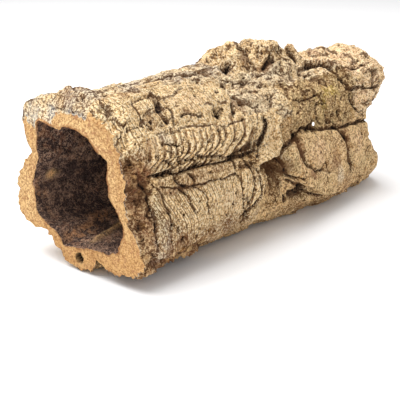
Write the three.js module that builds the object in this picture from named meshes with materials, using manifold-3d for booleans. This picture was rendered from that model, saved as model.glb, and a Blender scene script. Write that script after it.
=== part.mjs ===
// Hollow cork branch: a tube of bark lying on its side, sawn square at one end and broken at the other.
// Millimetres, +Z up. The tube runs along X with its sawn end at -X and rests on its lowest ridges at z = 0.
// Angles go round the tube in degrees, from its back (+Y) over the top (90) to the front (180) and the ground (270).

import * as THREE from 'three';
import { mergeVertices } from 'three/addons/utils/BufferGeometryUtils.js';
import { ImprovedNoise } from 'three/addons/math/ImprovedNoise.js';
import Module from 'manifold-3d';

const { clamp, degToRad, euclideanModulo, lerp, smoothstep } = THREE.MathUtils;

// Driving sizes
const length = 150;
const halfLength = length / 2;
const axisHeight = 27; // middle of the hollow above the ground
const sideShift = - 0.8; // centres the crooked outline over the origin
const usualRadius = 27; // turns an angle into a length along the skin
const mmPerDegree = degToRad( usualRadius );
const thinnestWall = 3.2;

// Steps of the faceted surface
const stepsRound = 62;
const frontCrowding = 14; // degrees by which the steps crowd towards the front, where the cracks are
const skinSteps = 56;
const rimSteps = 1;
const boreSteps = 12;
const faceSteps = 2;

// Outlines of the bark across the tube: x, then angle and radius of each ridge and hollow
const skinSections = [
	{ x: - 75, outline: [ [ 0, 29.8 ], [ 10, 27 ], [ 19, 24.2 ], [ 27, 27.5 ], [ 37, 33.2 ], [ 50, 31.6 ], [ 64, 28 ],
		[ 78, 26.5 ], [ 95, 25.8 ], [ 115, 24.8 ], [ 135, 24 ], [ 150, 23.2 ], [ 165, 21.6 ], [ 185, 21.3 ],
		[ 196, 23.5 ], [ 206, 29.5 ], [ 217, 33.8 ], [ 228, 32 ], [ 240, 28.2 ], [ 251, 24.5 ], [ 262, 26.8 ],
		[ 285, 27.4 ], [ 300, 24.8 ], [ 315, 25.2 ], [ 326, 30.5 ], [ 340, 33.2 ], [ 350, 30.7 ] ] },
	{ x: - 67, outline: [ [ 0, 29.5 ], [ 12, 26.8 ], [ 24, 26 ], [ 37, 32.6 ], [ 50, 32 ], [ 64, 30 ], [ 78, 29.2 ],
		[ 95, 29 ], [ 115, 28 ], [ 135, 26.8 ], [ 150, 25 ], [ 162, 22.5 ], [ 176, 23 ], [ 190, 25.5 ],
		[ 204, 29.5 ], [ 217, 33 ], [ 230, 31.5 ], [ 243, 28 ], [ 254, 26 ], [ 268, 27.3 ],
		[ 285, 28 ], [ 301, 25.6 ], [ 316, 26.2 ], [ 328, 30.3 ], [ 341, 32.4 ], [ 351, 30.3 ] ] },
	{ x: - 45, outline: [ [ 0, 28 ], [ 20, 26.5 ], [ 38, 31 ], [ 60, 29.8 ], [ 76, 29 ], [ 95, 28.4 ], [ 115, 28 ],
		[ 135, 27.6 ], [ 150, 26.6 ], [ 162, 23.5 ], [ 175, 25.5 ], [ 190, 27.8 ], [ 205, 30 ], [ 218, 31.6 ],
		[ 234, 31.4 ], [ 250, 28.2 ], [ 268, 26.8 ], [ 285, 27.4 ], [ 302, 26.2 ], [ 320, 29 ], [ 340, 30.8 ] ] },
	{ x: - 15, outline: [ [ 0, 29 ], [ 20, 27.3 ], [ 40, 30 ], [ 60, 31 ], [ 76, 31.2 ], [ 95, 29.6 ], [ 115, 28 ],
		[ 135, 27.5 ], [ 150, 26.8 ], [ 163, 23.8 ], [ 175, 25.4 ], [ 190, 27.4 ], [ 205, 29 ], [ 222, 31 ],
		[ 238, 31 ], [ 254, 28.2 ], [ 270, 26.3 ], [ 286, 26.7 ], [ 305, 27 ], [ 325, 29.2 ], [ 342, 30 ] ] },
	{ x: 25, outline: [ [ 0, 28.5 ], [ 20, 28.2 ], [ 40, 28.8 ], [ 60, 28 ], [ 76, 27.6 ], [ 95, 27.2 ], [ 115, 26.8 ],
		[ 135, 26 ], [ 150, 25.4 ], [ 165, 23.6 ], [ 178, 26 ], [ 195, 28.6 ], [ 210, 31 ], [ 225, 33.4 ],
		[ 240, 32.8 ], [ 254, 29.2 ], [ 270, 26.7 ], [ 290, 28.2 ], [ 310, 28.3 ], [ 330, 28.8 ], [ 345, 28.8 ] ] },
	{ x: 60, outline: [ [ 0, 27 ], [ 20, 27.6 ], [ 40, 28.4 ], [ 60, 27.8 ], [ 76, 27 ], [ 95, 27.4 ], [ 115, 27.6 ],
		[ 130, 27.6 ], [ 145, 26.6 ], [ 160, 24.4 ], [ 170, 23.6 ], [ 185, 25 ], [ 200, 27.2 ], [ 215, 30 ],
		[ 230, 32.2 ], [ 245, 31 ], [ 258, 28.2 ], [ 272, 27 ], [ 290, 28.7 ],
		[ 310, 27.8 ], [ 330, 28.2 ], [ 345, 27.4 ] ] },
	{ x: 75, outline: [ [ 0, 26 ], [ 20, 26.8 ], [ 40, 27.4 ], [ 60, 27 ], [ 76, 26.4 ], [ 95, 26.8 ], [ 115, 27.4 ],
		[ 130, 27 ], [ 145, 25.2 ], [ 160, 23 ], [ 170, 22.5 ], [ 185, 23.2 ], [ 200, 25.4 ], [ 215, 28 ],
		[ 230, 30 ], [ 245, 30 ], [ 258, 28 ], [ 272, 26.8 ], [ 290, 27.8 ], [ 310, 27.2 ], [ 330, 27 ], [ 345, 26 ] ] },
];

// Outlines of the hollow, in the same way
const boreSections = [
	{ x: - 75, outline: [ [ 3, 20.9 ], [ 21, 20 ], [ 34, 22.4 ], [ 45, 24.6 ], [ 58, 19.6 ], [ 74, 19.8 ], [ 92, 18.9 ],
		[ 120, 17.2 ], [ 145, 16.7 ], [ 158, 15.2 ], [ 170, 14.2 ], [ 184, 14.8 ], [ 196, 18.8 ], [ 211, 22.4 ],
		[ 229, 23 ], [ 245, 20.2 ], [ 262, 18.5 ], [ 280, 19.1 ], [ 293, 21.2 ],
		[ 307, 20 ], [ 324, 23.6 ], [ 344, 23.2 ] ] },
	{ x: - 40, outline: [ [ 0, 21 ], [ 22, 20.4 ], [ 45, 22.4 ], [ 70, 21 ], [ 95, 19.8 ], [ 125, 18.6 ], [ 150, 17.4 ],
		[ 170, 16.4 ], [ 190, 18 ], [ 212, 21 ], [ 235, 21.4 ], [ 258, 19.4 ], [ 280, 19.6 ],
		[ 303, 20 ], [ 328, 22.4 ] ] },
	{ x: 20, outline: [ [ 0, 21 ], [ 30, 20.6 ], [ 60, 20.6 ], [ 90, 19.8 ], [ 120, 18.6 ], [ 150, 17.4 ], [ 170, 17.2 ],
		[ 195, 19 ], [ 220, 21 ], [ 245, 20.8 ], [ 270, 19.6 ], [ 300, 20.8 ], [ 330, 22.2 ] ] },
	{ x: 75, outline: [ [ 0, 20.6 ], [ 30, 20 ], [ 60, 19.6 ], [ 90, 19.4 ], [ 120, 19.2 ], [ 145, 18.4 ], [ 170, 17.6 ],
		[ 195, 18.6 ], [ 220, 20.4 ], [ 245, 20.4 ], [ 270, 19.6 ], [ 300, 20.6 ], [ 330, 22 ] ] },
];

// Reach of the wall along x at the broken end, in the same way; the seam has opened to a notch
const farOutline = [ [ 0, 73 ], [ 22, 74 ], [ 45, 71.5 ], [ 68, 70 ], [ 88, 67.5 ], [ 106, 69.5 ], [ 120, 71 ],
	[ 132, 74.5 ], [ 142, 73 ], [ 150, 67 ], [ 157, 63.5 ], [ 163, 58.5 ], [ 169, 56 ], [ 180, 55 ], [ 191, 55.5 ], [ 199, 58 ],
	[ 207, 62.5 ], [ 218, 67 ], [ 228, 71 ], [ 240, 74.98 ], [ 254, 73 ], [ 270, 74.4 ], [ 288, 72 ], [ 305, 73.6 ],
	[ 322, 71 ], [ 342, 72.6 ] ];

// Lumps that stand on the bark: middle, half length and half width in mm, height, and how square they are
const lumps = [
	{ name: 'knob, low hump', x: - 0.5, angle: 80, halfLong: 8, halfWide: 8.5, height: 5, square: 4 },
	{ name: 'knob, high hump', x: 19.5, angle: 80, halfLong: 11.5, halfWide: 9, height: 7.8, square: 4.4 },
	{ name: 'curled chip behind the knob', x: 41, angle: 76, halfLong: 3.4, halfWide: 4, height: 3, square: 2.4 },
	{ name: 'chip near the sawn end', x: - 69, angle: 74, halfLong: 3, halfWide: 2.6, height: 2, square: 2 },
	{ name: 'upper lobe of the broken end', x: 62, angle: 106, halfLong: 13, halfWide: 16, height: 1.8, square: 2.6 },
	{ name: 'back burr', x: - 24, angle: 24, halfLong: 13, halfWide: 8, height: 2.4, square: 2.4 },
	{ name: 'back burr, far', x: 38, angle: 334, halfLong: 16, halfWide: 8, height: 1.8, square: 2.4 },
];

// Cracks and hollows drawn on the bark: points are x and angle, width is to the side where it has mostly run out
const grooves = [
	{ name: 'seam where the bark closed', width: 2.3, depth: 4,
		line: [ [ - 77, 163 ], [ - 60, 164 ], [ - 42, 164 ], [ - 28, 167 ], [ - 20, 171 ] ] },
	{ name: 'gap beside the hook', width: 1.9, depth: 4, line: [ [ - 22, 168 ], [ - 16.5, 160 ], [ - 14, 149 ] ] },
	{ name: 'seam to the notch', width: 1.8, depth: 3,
		line: [ [ - 7, 173 ], [ 1, 167 ], [ 8, 161 ], [ 19, 165 ], [ 31, 170 ], [ 54, 173 ] ] },
	{ name: 'deep hollow', width: 4.4, depth: 6, line: [ [ - 11, 180 ], [ - 8, 190 ], [ - 3, 205 ] ] },
	{ name: 'pit under the blocks', width: 3.2, depth: 4.5, line: [ [ 3, 214 ], [ 12, 214 ] ] },
	{ name: 'crack in the near block', width: 1.5, depth: 2.4,
		line: [ [ 7, 166 ], [ 8, 179 ], [ 11, 194 ], [ 22, 198 ] ] },
	{ name: 'crack in the far block', width: 1.4, depth: 2.2,
		line: [ [ 31, 170 ], [ 36, 184 ], [ 42, 199 ], [ 46, 214 ] ] },
	{ name: 'crack of the hook', width: 1.2, depth: 1.6, line: [ [ - 11, 147 ], [ - 12, 161 ], [ - 16, 171 ] ] },
	{ name: 'edge of the flaky top', width: 2, depth: 1.4,
		line: [ [ - 70, 94 ], [ - 58, 93 ], [ - 46, 97 ], [ - 34, 101 ], [ - 17, 116 ], [ - 3, 122 ], [ 12, 124 ] ] },
	{ name: 'crease under the upper lobe', width: 1.8, depth: 2.2,
		line: [ [ 14, 121 ], [ 26, 114 ], [ 33, 109 ], [ 40, 117 ], [ 45, 138 ], [ 48, 150 ], [ 53, 163 ] ] },
	{ name: 'crack between the top blocks', width: 1.4, depth: 1.8,
		line: [ [ - 49, 104 ], [ - 52, 118 ], [ - 54, 131 ] ] },
	{ name: 'border of the ringed band', width: 1.6, depth: 1,
		line: [ [ - 70, 132 ], [ - 50, 135 ], [ - 38, 137 ], [ - 24, 143 ] ] },
	{ name: 'ring of the lower lobe, near', width: 1.3, depth: 1.2,
		line: [ [ - 58, 176 ], [ - 52, 198 ], [ - 52, 236 ] ] },
	{ name: 'ring of the lower lobe, far', width: 1.3, depth: 1.2,
		line: [ [ - 36, 180 ], [ - 32, 198 ], [ - 32, 232 ] ] },
	{ name: 'foot of the knob', width: 2.2, depth: 2,
		line: [ [ - 16, 101 ], [ - 6, 100 ], [ 9, 103 ], [ 22, 101 ], [ 33, 96 ], [ 34, 78 ] ] },
	{ name: 'back seam', width: 2.2, depth: 2.6,
		line: [ [ - 77, 18 ], [ - 50, 20 ], [ - 20, 8 ], [ 10, 6 ], [ 40, 14 ], [ 77, 10 ] ] },
	{ name: 'back crack, near', width: 1.5, depth: 2, line: [ [ - 48, 20 ], [ - 44, 350 ], [ - 50, 326 ] ] },
	{ name: 'back crack, far', width: 1.5, depth: 2, line: [ [ 8, 6 ], [ 14, 340 ], [ 10, 316 ] ] },
	{ name: 'crack over the back', width: 1.4, depth: 1.8, line: [ [ - 6, 14 ], [ - 2, 36 ], [ - 8, 58 ] ] },
];

// Ledges: seen from outside, the bark stands up on the right hand of the line as it runs,
// and falls away again over the reach
const ledges = [
	{ name: 'upper bank of the seam', height: 1.6, width: 2, reach: 11,
		line: [ [ - 24, 163 ], [ - 34, 161 ], [ - 48, 160 ], [ - 64, 159 ] ] },
	{ name: 'hook', height: 1.8, width: 1.6, reach: 7,
		line: [ [ - 2, 152 ], [ 0, 162 ], [ - 6, 171 ], [ - 17, 175 ], [ - 15, 160 ], [ - 13, 147 ] ] },
	{ name: 'blocks at the broken end', height: 2.2, width: 2, reach: 14,
		line: [ [ 42, 230 ], [ 28, 223 ], [ 14, 214 ], [ 3, 203 ], [ - 4, 187 ], [ - 3, 172 ] ] },
	{ name: 'lip of the lower lobe', height: 1.6, width: 2, reach: 12,
		line: [ [ - 22, 175 ], [ - 17, 186 ], [ - 17, 200 ], [ - 22, 214 ] ] },
	{ name: 'upper lobe', height: 1.8, width: 2, reach: 13,
		line: [ [ 55, 162 ], [ 49, 148 ], [ 45, 130 ], [ 39, 114 ], [ 31, 106 ] ] },
	{ name: 'back plate', height: 1.8, width: 2.2, reach: 14,
		line: [ [ 8, 336 ], [ 10, 318 ], [ 28, 304 ], [ 54, 306 ] ] },
];

const farRounding = { depth: 1.2, long: 4 }; // the broken edge is worn round
const wobbles = [ { size: 9, height: 0.9, start: 0.5 }, { size: 4.2, height: 0.5, start: 3.5 } ]; // of the skin
const boreWobble = { size: 12, height: 1, start: 7.5 };

// A small hole through the front wall, in line with the open far end
const pinhole = { x: 20, angle: 163, radius: 1.1, reach: 13, sides: 8, direction: [ 0.814, 0.534, - 0.231 ] };

const noise = new ImprovedNoise();

// Turns from a centre angle, between -180 and 180
function turn( angle, centre ) {

	return euclideanModulo( angle - centre + 180, 360 ) - 180;

}

// Smooth noise read on the skin of an even tube, so that it closes on itself all round
function uneven( x, angle, size, start ) {

	const turned = degToRad( angle );
	const y = usualRadius * Math.cos( turned );
	const z = usualRadius * Math.sin( turned );
	return noise.noise( x / size + start, y / size, z / size );

}

// Radius of a closed outline at an angle, as a smooth curve through its points
function outlineRadius( outline, angle ) {

	const count = outline.length;
	const next = outline.findIndex( ( point ) => point[ 0 ] > euclideanModulo( angle, 360 ) );
	const at = ( next < 0 ? count : next ) + count - 1;
	const [ before, start, end, after ] = [ - 1, 0, 1, 2 ].map( ( step ) => outline[ ( at + step ) % count ] );

	const span = euclideanModulo( end[ 0 ] - start[ 0 ], 360 );
	const spanBefore = euclideanModulo( start[ 0 ] - before[ 0 ], 360 );
	const spanAfter = euclideanModulo( after[ 0 ] - end[ 0 ], 360 );
	const slopeStart = ( end[ 1 ] - before[ 1 ] ) / ( span + spanBefore ) * span;
	const slopeEnd = ( after[ 1 ] - start[ 1 ] ) / ( span + spanAfter ) * span;

	const u = euclideanModulo( angle - start[ 0 ], 360 ) / span;
	const uu = u * u;
	const uuu = uu * u;
	return ( 2 * uuu - 3 * uu + 1 ) * start[ 1 ] + ( uuu - 2 * uu + u ) * slopeStart
		+ ( 3 * uu - 2 * uuu ) * end[ 1 ] + ( uuu - uu ) * slopeEnd;

}

// Radius between two of the sections, eased along the tube
function sectionRadius( sections, x, angle ) {

	const found = sections.findIndex( ( section ) => section.x > x );
	const next = clamp( found < 0 ? sections.length : found, 1, sections.length - 1 );
	const from = sections[ next - 1 ];
	const to = sections[ next ];
	const share = smoothstep( x, from.x, to.x );
	return lerp( outlineRadius( from.outline, angle ), outlineRadius( to.outline, angle ), share );

}

// How far a place is from a drawn line, positive on its right hand, and how far it lies beyond the line's ends
function placeByLine( line, x, angle ) {

	const middle = line[ 0 ][ 1 ];
	const place = new THREE.Vector2( x, turn( angle, middle ) * mmPerDegree );
	let nearest = { across: Infinity, beyond: 0 };

	for ( let i = 1; i < line.length; i ++ ) {

		const start = new THREE.Vector2( line[ i - 1 ][ 0 ], turn( line[ i - 1 ][ 1 ], middle ) * mmPerDegree );
		const end = new THREE.Vector2( line[ i ][ 0 ], turn( line[ i ][ 1 ], middle ) * mmPerDegree );
		const along = end.clone().sub( start );
		const run = along.length();
		along.divideScalar( run );

		const offset = place.clone().sub( start );
		const reached = offset.dot( along );
		const side = along.cross( offset );
		const beforeStart = i === 1 ? Math.max( - reached, 0 ) : 0;
		const pastEnd = i === line.length - 1 ? Math.max( reached - run, 0 ) : 0;
		const beyond = beforeStart + pastEnd;
		const gap = clamp( reached, 0, run ) - reached;
		const distance = Math.hypot( side, gap );
		const across = ( side < 0 ? - 1 : 1 ) * ( beyond > 0 ? Math.abs( side ) : distance );

		if ( distance < Math.hypot( nearest.across, nearest.beyond ) ) nearest = { across, beyond };

	}

	return nearest;

}

// Radius of the bark's outside
function skinRadius( x, angle ) {

	let radius = sectionRadius( skinSections, x, angle );

	for ( const lump of lumps ) {

		const long = Math.abs( x - lump.x ) / lump.halfLong;
		const wide = Math.abs( turn( angle, lump.angle ) ) * mmPerDegree / lump.halfWide;
		radius += lump.height * Math.exp( - ( long ** lump.square ) - ( wide ** lump.square ) );

	}

	for ( const { line, width, height, reach } of ledges ) {

		const { across, beyond } = placeByLine( line, x, angle );
		const rise = smoothstep( across, 0, width ) * ( 1 - smoothstep( across, width, reach ) );
		radius += height * rise * ( 1 - smoothstep( beyond, 0, 2 * width ) );

	}

	for ( const { line, width, depth } of grooves ) {

		const { across, beyond } = placeByLine( line, x, angle );
		radius -= depth * Math.exp( - ( ( across / width ) ** 2 ) ) * ( 1 - smoothstep( beyond, 0, 2 * width ) );

	}

	for ( const { size, height, start } of wobbles ) radius += height * uneven( x, angle, size, start );
	return radius;

}

// Radius of the hollow, which keeps the wall from running out under the cracks
function boreRadius( x, angle ) {

	const rough = boreWobble.height * uneven( x, angle, boreWobble.size, boreWobble.start );
	return Math.min( sectionRadius( boreSections, x, angle ) + rough, skinRadius( x, angle ) - thinnestWall );

}

// A point at a radius from the middle of the tube; the ridges underneath are worn flat on the ground
function pointAt( x, angle, radius ) {

	const turned = degToRad( angle );
	return new THREE.Vector3(
		x,
		sideShift + radius * Math.cos( turned ),
		Math.max( axisHeight + radius * Math.sin( turned ), 0 ),
	);

}

// The closed wall: out along the skin, over the broken rim, back along the hollow and across the sawn face
function wallPoint( step, angle ) {

	const edge = outlineRadius( farOutline, angle );

	if ( step <= skinSteps ) {

		const x = lerp( - halfLength, edge, step / skinSteps );
		const worn = farRounding.depth * ( 1 - smoothstep( edge - x, 0, farRounding.long ) );
		return pointAt( x, angle, skinRadius( x, angle ) - worn );

	}

	const inBore = step - skinSteps - rimSteps;
	if ( inBore <= boreSteps ) {

		const x = lerp( edge, - halfLength, inBore / boreSteps );
		return pointAt( x, angle, boreRadius( x, angle ) );

	}

	const across = ( inBore - boreSteps ) / faceSteps;
	const inner = boreRadius( - halfLength, angle );
	const outer = skinRadius( - halfLength, angle );
	return pointAt( - halfLength, angle, lerp( inner, outer, across ) );

}

function wallGeometry() {

	const wallSteps = skinSteps + rimSteps + boreSteps + faceSteps;
	const geometry = new THREE.PlaneGeometry( 1, 1, stepsRound, wallSteps );
	const position = geometry.attributes.position;

	// Columns count backwards round the tube, so that the faces look out of the wall
	for ( let i = 0; i < position.count; i ++ ) {

		const column = ( stepsRound - i % ( stepsRound + 1 ) ) % stepsRound;
		const row = Math.floor( i / ( stepsRound + 1 ) ) % wallSteps;
		const evenly = 360 * column / stepsRound;
		const angle = evenly + frontCrowding * Math.sin( degToRad( evenly ) );
		const point = wallPoint( row, angle );
		position.setXYZ( i, point.x, point.y, point.z );

	}

	geometry.deleteAttribute( 'normal' );
	geometry.deleteAttribute( 'uv' );
	return mergeVertices( geometry, 1e-4 );

}

function pinholeGeometry() {

	const mouth = pointAt( pinhole.x, pinhole.angle, skinRadius( pinhole.x, pinhole.angle ) );
	const geometry = new THREE.CylinderGeometry( pinhole.radius, pinhole.radius, 2 * pinhole.reach, pinhole.sides );
	const direction = new THREE.Vector3( ...pinhole.direction ).normalize();
	geometry.applyQuaternion( new THREE.Quaternion().setFromUnitVectors( new THREE.Vector3( 0, 1, 0 ), direction ) );
	geometry.translate( mouth.x, mouth.y, mouth.z );
	geometry.deleteAttribute( 'normal' );
	geometry.deleteAttribute( 'uv' );
	return mergeVertices( geometry, 1e-4 );

}

const wasm = await Module();
wasm.setup();

function toSolid( geometry ) {

	const vertProperties = new Float32Array( geometry.attributes.position.array );
	const triVerts = new Uint32Array( geometry.index.array );
	return new wasm.Manifold( new wasm.Mesh( { numProp: 3, vertProperties, triVerts } ) );

}

function toGeometry( solid ) {

	const mesh = solid.getMesh();
	const geometry = new THREE.BufferGeometry();
	geometry.setAttribute( 'position', new THREE.BufferAttribute( new Float32Array( mesh.vertProperties ), 3 ) );
	geometry.setIndex( new THREE.BufferAttribute( new Uint32Array( mesh.triVerts ), 1 ) );
	geometry.computeVertexNormals();
	return geometry;

}

const bark = new THREE.MeshStandardMaterial( { name: 'cork bark', color: 0xb99a6b, roughness: 0.95, metalness: 0 } );

const wall = toSolid( wallGeometry() ).subtract( toSolid( pinholeGeometry() ) );
const corkTube = new THREE.Mesh( toGeometry( wall ), bark );
corkTube.name = 'cork_tube';

const corkBranch = new THREE.Group();
corkBranch.name = 'cork_branch';
corkBranch.add( corkTube );

export default corkBranch;
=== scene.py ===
import math
from types import SimpleNamespace

import bpy
import numpy as np
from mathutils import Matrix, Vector, noise


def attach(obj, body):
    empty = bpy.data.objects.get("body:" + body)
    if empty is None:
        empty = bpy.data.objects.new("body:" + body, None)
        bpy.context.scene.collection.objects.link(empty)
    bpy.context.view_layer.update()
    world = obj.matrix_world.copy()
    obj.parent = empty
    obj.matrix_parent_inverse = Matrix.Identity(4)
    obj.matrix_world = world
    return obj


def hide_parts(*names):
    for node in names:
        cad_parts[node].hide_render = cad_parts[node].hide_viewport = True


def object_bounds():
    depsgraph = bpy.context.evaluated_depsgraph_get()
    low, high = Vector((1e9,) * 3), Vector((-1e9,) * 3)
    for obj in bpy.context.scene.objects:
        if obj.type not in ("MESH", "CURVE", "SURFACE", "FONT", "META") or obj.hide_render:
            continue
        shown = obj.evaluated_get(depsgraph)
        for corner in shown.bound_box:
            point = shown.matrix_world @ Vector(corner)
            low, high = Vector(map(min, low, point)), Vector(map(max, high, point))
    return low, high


# Hollow cork branch on a plain pale floor. The bark is drawn in millimetres and angles: x runs along the
# tube, from -75 at its sawn end to 75, and an angle goes round it from the back (0) over the top (90) to
# the front (180) and the ground (270).

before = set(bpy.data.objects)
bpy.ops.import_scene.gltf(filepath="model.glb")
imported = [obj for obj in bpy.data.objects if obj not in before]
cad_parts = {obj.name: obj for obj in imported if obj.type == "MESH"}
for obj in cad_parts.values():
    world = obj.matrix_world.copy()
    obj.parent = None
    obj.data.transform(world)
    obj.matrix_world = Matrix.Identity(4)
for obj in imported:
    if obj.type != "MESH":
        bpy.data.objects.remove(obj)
cadLow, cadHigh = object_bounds()
print("frame loaded")

mm = 0.001


# Camera, light and floor

photoView = {
    "place": (-233.3, -187.3, 104.7),  # mm
    "turn": -49.0,  # degrees round from the front
    "rise": 18.5,  # degrees above the floor
    "lens": 75.6,
}

studio = {
    "floorWidth": 8000,  # mm
    "floorColour": (0.93, 0.93, 0.94, 1),
    "worldColour": (1.0, 0.995, 0.985, 1),
    "worldStrength": 0.68,
    "lights": [
        {"name": "soft box above", "place": (-140, 260, 760), "width": 800, "power": 9.3},
        {"name": "soft box at the sawn end", "place": (-760, -160, 260), "width": 420, "power": 0.35},
        {"name": "soft box at the front", "place": (-200, -760, 420), "width": 600, "power": 0.5},
    ],
}


def deselectAll():
    if bpy.context.object and bpy.context.object.mode != "OBJECT":
        bpy.ops.object.mode_set(mode="OBJECT")
    bpy.ops.object.select_all(action="DESELECT")


def addCamera():
    deselectAll()
    bpy.ops.object.camera_add(
        location=Vector(photoView["place"]) * mm,
        rotation=(math.radians(90 - photoView["rise"]), 0, math.radians(photoView["turn"])),
    )
    camera = bpy.context.object
    camera.name = "photo_camera"
    camera.data.lens = photoView["lens"]
    camera.data.clip_start = 0.01
    bpy.context.scene.camera = camera


def addStudio():
    deselectAll()
    bpy.ops.mesh.primitive_plane_add(size=studio["floorWidth"] * mm, location=(0, 0, 0))
    floor = bpy.context.object
    floor.name = "floor"
    pale = bpy.data.materials.new("pale floor")
    pale.use_nodes = True
    shader = pale.node_tree.nodes["Principled BSDF"]
    shader.inputs["Base Color"].default_value = studio["floorColour"]
    shader.inputs["Roughness"].default_value = 0.9
    floor.data.materials.append(pale)

    world = bpy.data.worlds.new("studio")
    world.use_nodes = True
    background = world.node_tree.nodes["Background"]
    background.inputs["Color"].default_value = studio["worldColour"]
    background.inputs["Strength"].default_value = studio["worldStrength"]
    bpy.context.scene.world = world
    bpy.context.scene.view_settings.view_transform = "Standard"

    aim = Vector((0, 0, 25)) * mm
    for light in studio["lights"]:
        place = Vector(light["place"]) * mm
        bpy.ops.object.light_add(type="AREA", location=place)
        lamp = bpy.context.object
        lamp.name = light["name"]
        lamp.rotation_euler = (aim - place).to_track_quat("-Z", "Y").to_euler()
        lamp.data.size = light["width"] * mm
        lamp.data.energy = light["power"]


addCamera()
addStudio()
print("camera and light set")


# Shape of the tube: outlines across it, lumps, cracks and ledges, as the solid has them

tube = {
    "length": 150,
    "height": 27,  # of the middle of the hollow above the ground
    "side": -0.8,
    "skinRadius": 27,
    "boreRadius": 19,
    "columns": 288,
    "crowding": 14,  # degrees by which the columns crowd towards the front
    "skinCuts": (13, 19),
    "boreCuts": (9, 3),
    "boreCrowding": 1.7,
    "faceCuts": 9,
    "rimCuts": 4,
    "wall": 7,  # its usual thickness
    "thinnestWall": 3.2,
    "wallUnderCracks": 1.6,
    "narrowing": 0.5,  # of the grooves, which the solid draws wider
    "bevelReach": 4.5,
    "sawnRoughness": 1.2,
    "rimRound": 0.9,
    "ragged": 0.8,  # how ragged the broken end is, and its small teeth
    "fineRagged": 0.4,
    "furthest": 74.9,
}
halfLength = tube["length"] / 2
touching = 0.01  # mm; points that are nearer than this are in one place
mmPerDegree = math.radians(tube["skinRadius"])

# outlines of the skin and of the hollow: x, then angle and radius of each point
skinSections = [
    (-75, [
        (0, 29.8), (10, 27), (19, 24.2), (27, 27.5), (37, 33.2), (50, 31.6), (64, 28), (78, 26.5),
        (95, 25.8), (115, 24.8), (135, 24), (150, 23.2), (165, 21.6), (185, 21.3), (196, 23.5),
        (206, 29.5), (217, 33.8), (228, 32), (240, 28.2), (251, 24.5), (262, 26.8), (285, 27.4),
        (300, 24.8), (315, 25.2), (326, 30.5), (340, 33.2), (350, 30.7)]),
    (-67, [
        (0, 29.5), (12, 26.8), (24, 26), (37, 32.6), (50, 32), (64, 30), (78, 29.2), (95, 29), (115, 28),
        (135, 26.8), (150, 25), (162, 22.5), (176, 23), (190, 25.5), (204, 29.5), (217, 33), (230, 31.5),
        (243, 28), (254, 26), (268, 27.3), (285, 28), (301, 25.6), (316, 26.2), (328, 30.3), (341, 32.4),
        (351, 30.3)]),
    (-45, [
        (0, 28), (20, 26.5), (38, 31), (60, 29.8), (76, 29), (95, 28.4), (115, 28), (135, 27.6),
        (150, 26.6), (162, 23.5), (175, 25.5), (190, 27.8), (205, 30), (218, 31.6), (234, 31.4),
        (250, 28.2), (268, 26.8), (285, 27.4), (302, 26.2), (320, 29), (340, 30.8)]),
    (-15, [
        (0, 29), (20, 27.3), (40, 30), (60, 31), (76, 31.2), (95, 29.6), (115, 28), (135, 27.5),
        (150, 26.8), (163, 23.8), (175, 25.4), (190, 27.4), (205, 29), (222, 31), (238, 31), (254, 28.2),
        (270, 26.3), (286, 26.7), (305, 27), (325, 29.2), (342, 30)]),
    (25, [
        (0, 28.5), (20, 28.2), (40, 28.8), (60, 28), (76, 27.6), (95, 27.2), (115, 26.8), (135, 26),
        (150, 25.4), (165, 23.6), (178, 26), (195, 28.6), (210, 31), (225, 33.4), (240, 32.8),
        (254, 29.2), (270, 26.7), (290, 28.2), (310, 28.3), (330, 28.8), (345, 28.8)]),
    (60, [
        (0, 27), (20, 27.6), (40, 28.4), (60, 27.8), (76, 27), (95, 27.4), (115, 27.6), (130, 27.6),
        (145, 26.6), (160, 24.4), (170, 23.6), (185, 25), (200, 27.2), (215, 30), (230, 32.2), (245, 31),
        (258, 28.2), (272, 27), (290, 28.7), (310, 27.8), (330, 28.2), (345, 27.4)]),
    (75, [
        (0, 26), (20, 26.8), (40, 27.4), (60, 27), (76, 26.4), (95, 26.8), (115, 27.4), (130, 27),
        (145, 25.2), (160, 23), (170, 22.5), (185, 23.2), (200, 25.4), (215, 28), (230, 30), (245, 30),
        (258, 28), (272, 26.8), (290, 27.8), (310, 27.2), (330, 27), (345, 26)]),
]

boreSections = [
    (-75, [
        (3, 20.9), (21, 20), (34, 22.4), (45, 24.6), (58, 19.6), (74, 19.8), (92, 18.9), (120, 17.2),
        (145, 16.7), (158, 15.2), (170, 14.2), (184, 14.8), (196, 18.8), (211, 22.4), (229, 23),
        (245, 20.2), (262, 18.5), (280, 19.1), (293, 21.2), (307, 20), (324, 23.6), (344, 23.2)]),
    (-40, [
        (0, 21), (22, 20.4), (45, 22.4), (70, 21), (95, 19.8), (125, 18.6), (150, 17.4), (170, 16.4),
        (190, 18), (212, 21), (235, 21.4), (258, 19.4), (280, 19.6), (303, 20), (328, 22.4)]),
    (20, [
        (0, 21), (30, 20.6), (60, 20.6), (90, 19.8), (120, 18.6), (150, 17.4), (170, 17.2), (195, 19),
        (220, 21), (245, 20.8), (270, 19.6), (300, 20.8), (330, 22.2)]),
    (75, [
        (0, 20.6), (30, 20), (60, 19.6), (90, 19.4), (120, 19.2), (145, 18.4), (170, 17.6), (195, 18.6),
        (220, 20.4), (245, 20.4), (270, 19.6), (300, 20.6), (330, 22)]),
]

# reach of the wall along x at the broken end, by angle
farOutline = [
    (0, 73), (22, 74), (45, 71.5), (68, 70), (88, 67.5), (106, 69.5), (120, 71), (132, 74.5), (142, 73),
    (150, 67), (157, 63.5), (163, 58.5), (169, 56), (180, 55), (191, 55.5), (199, 58), (207, 62.5),
    (218, 67), (228, 71), (240, 74.98), (254, 73), (270, 74.4), (288, 72), (305, 73.6), (322, 71),
    (342, 72.6),
]

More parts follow.
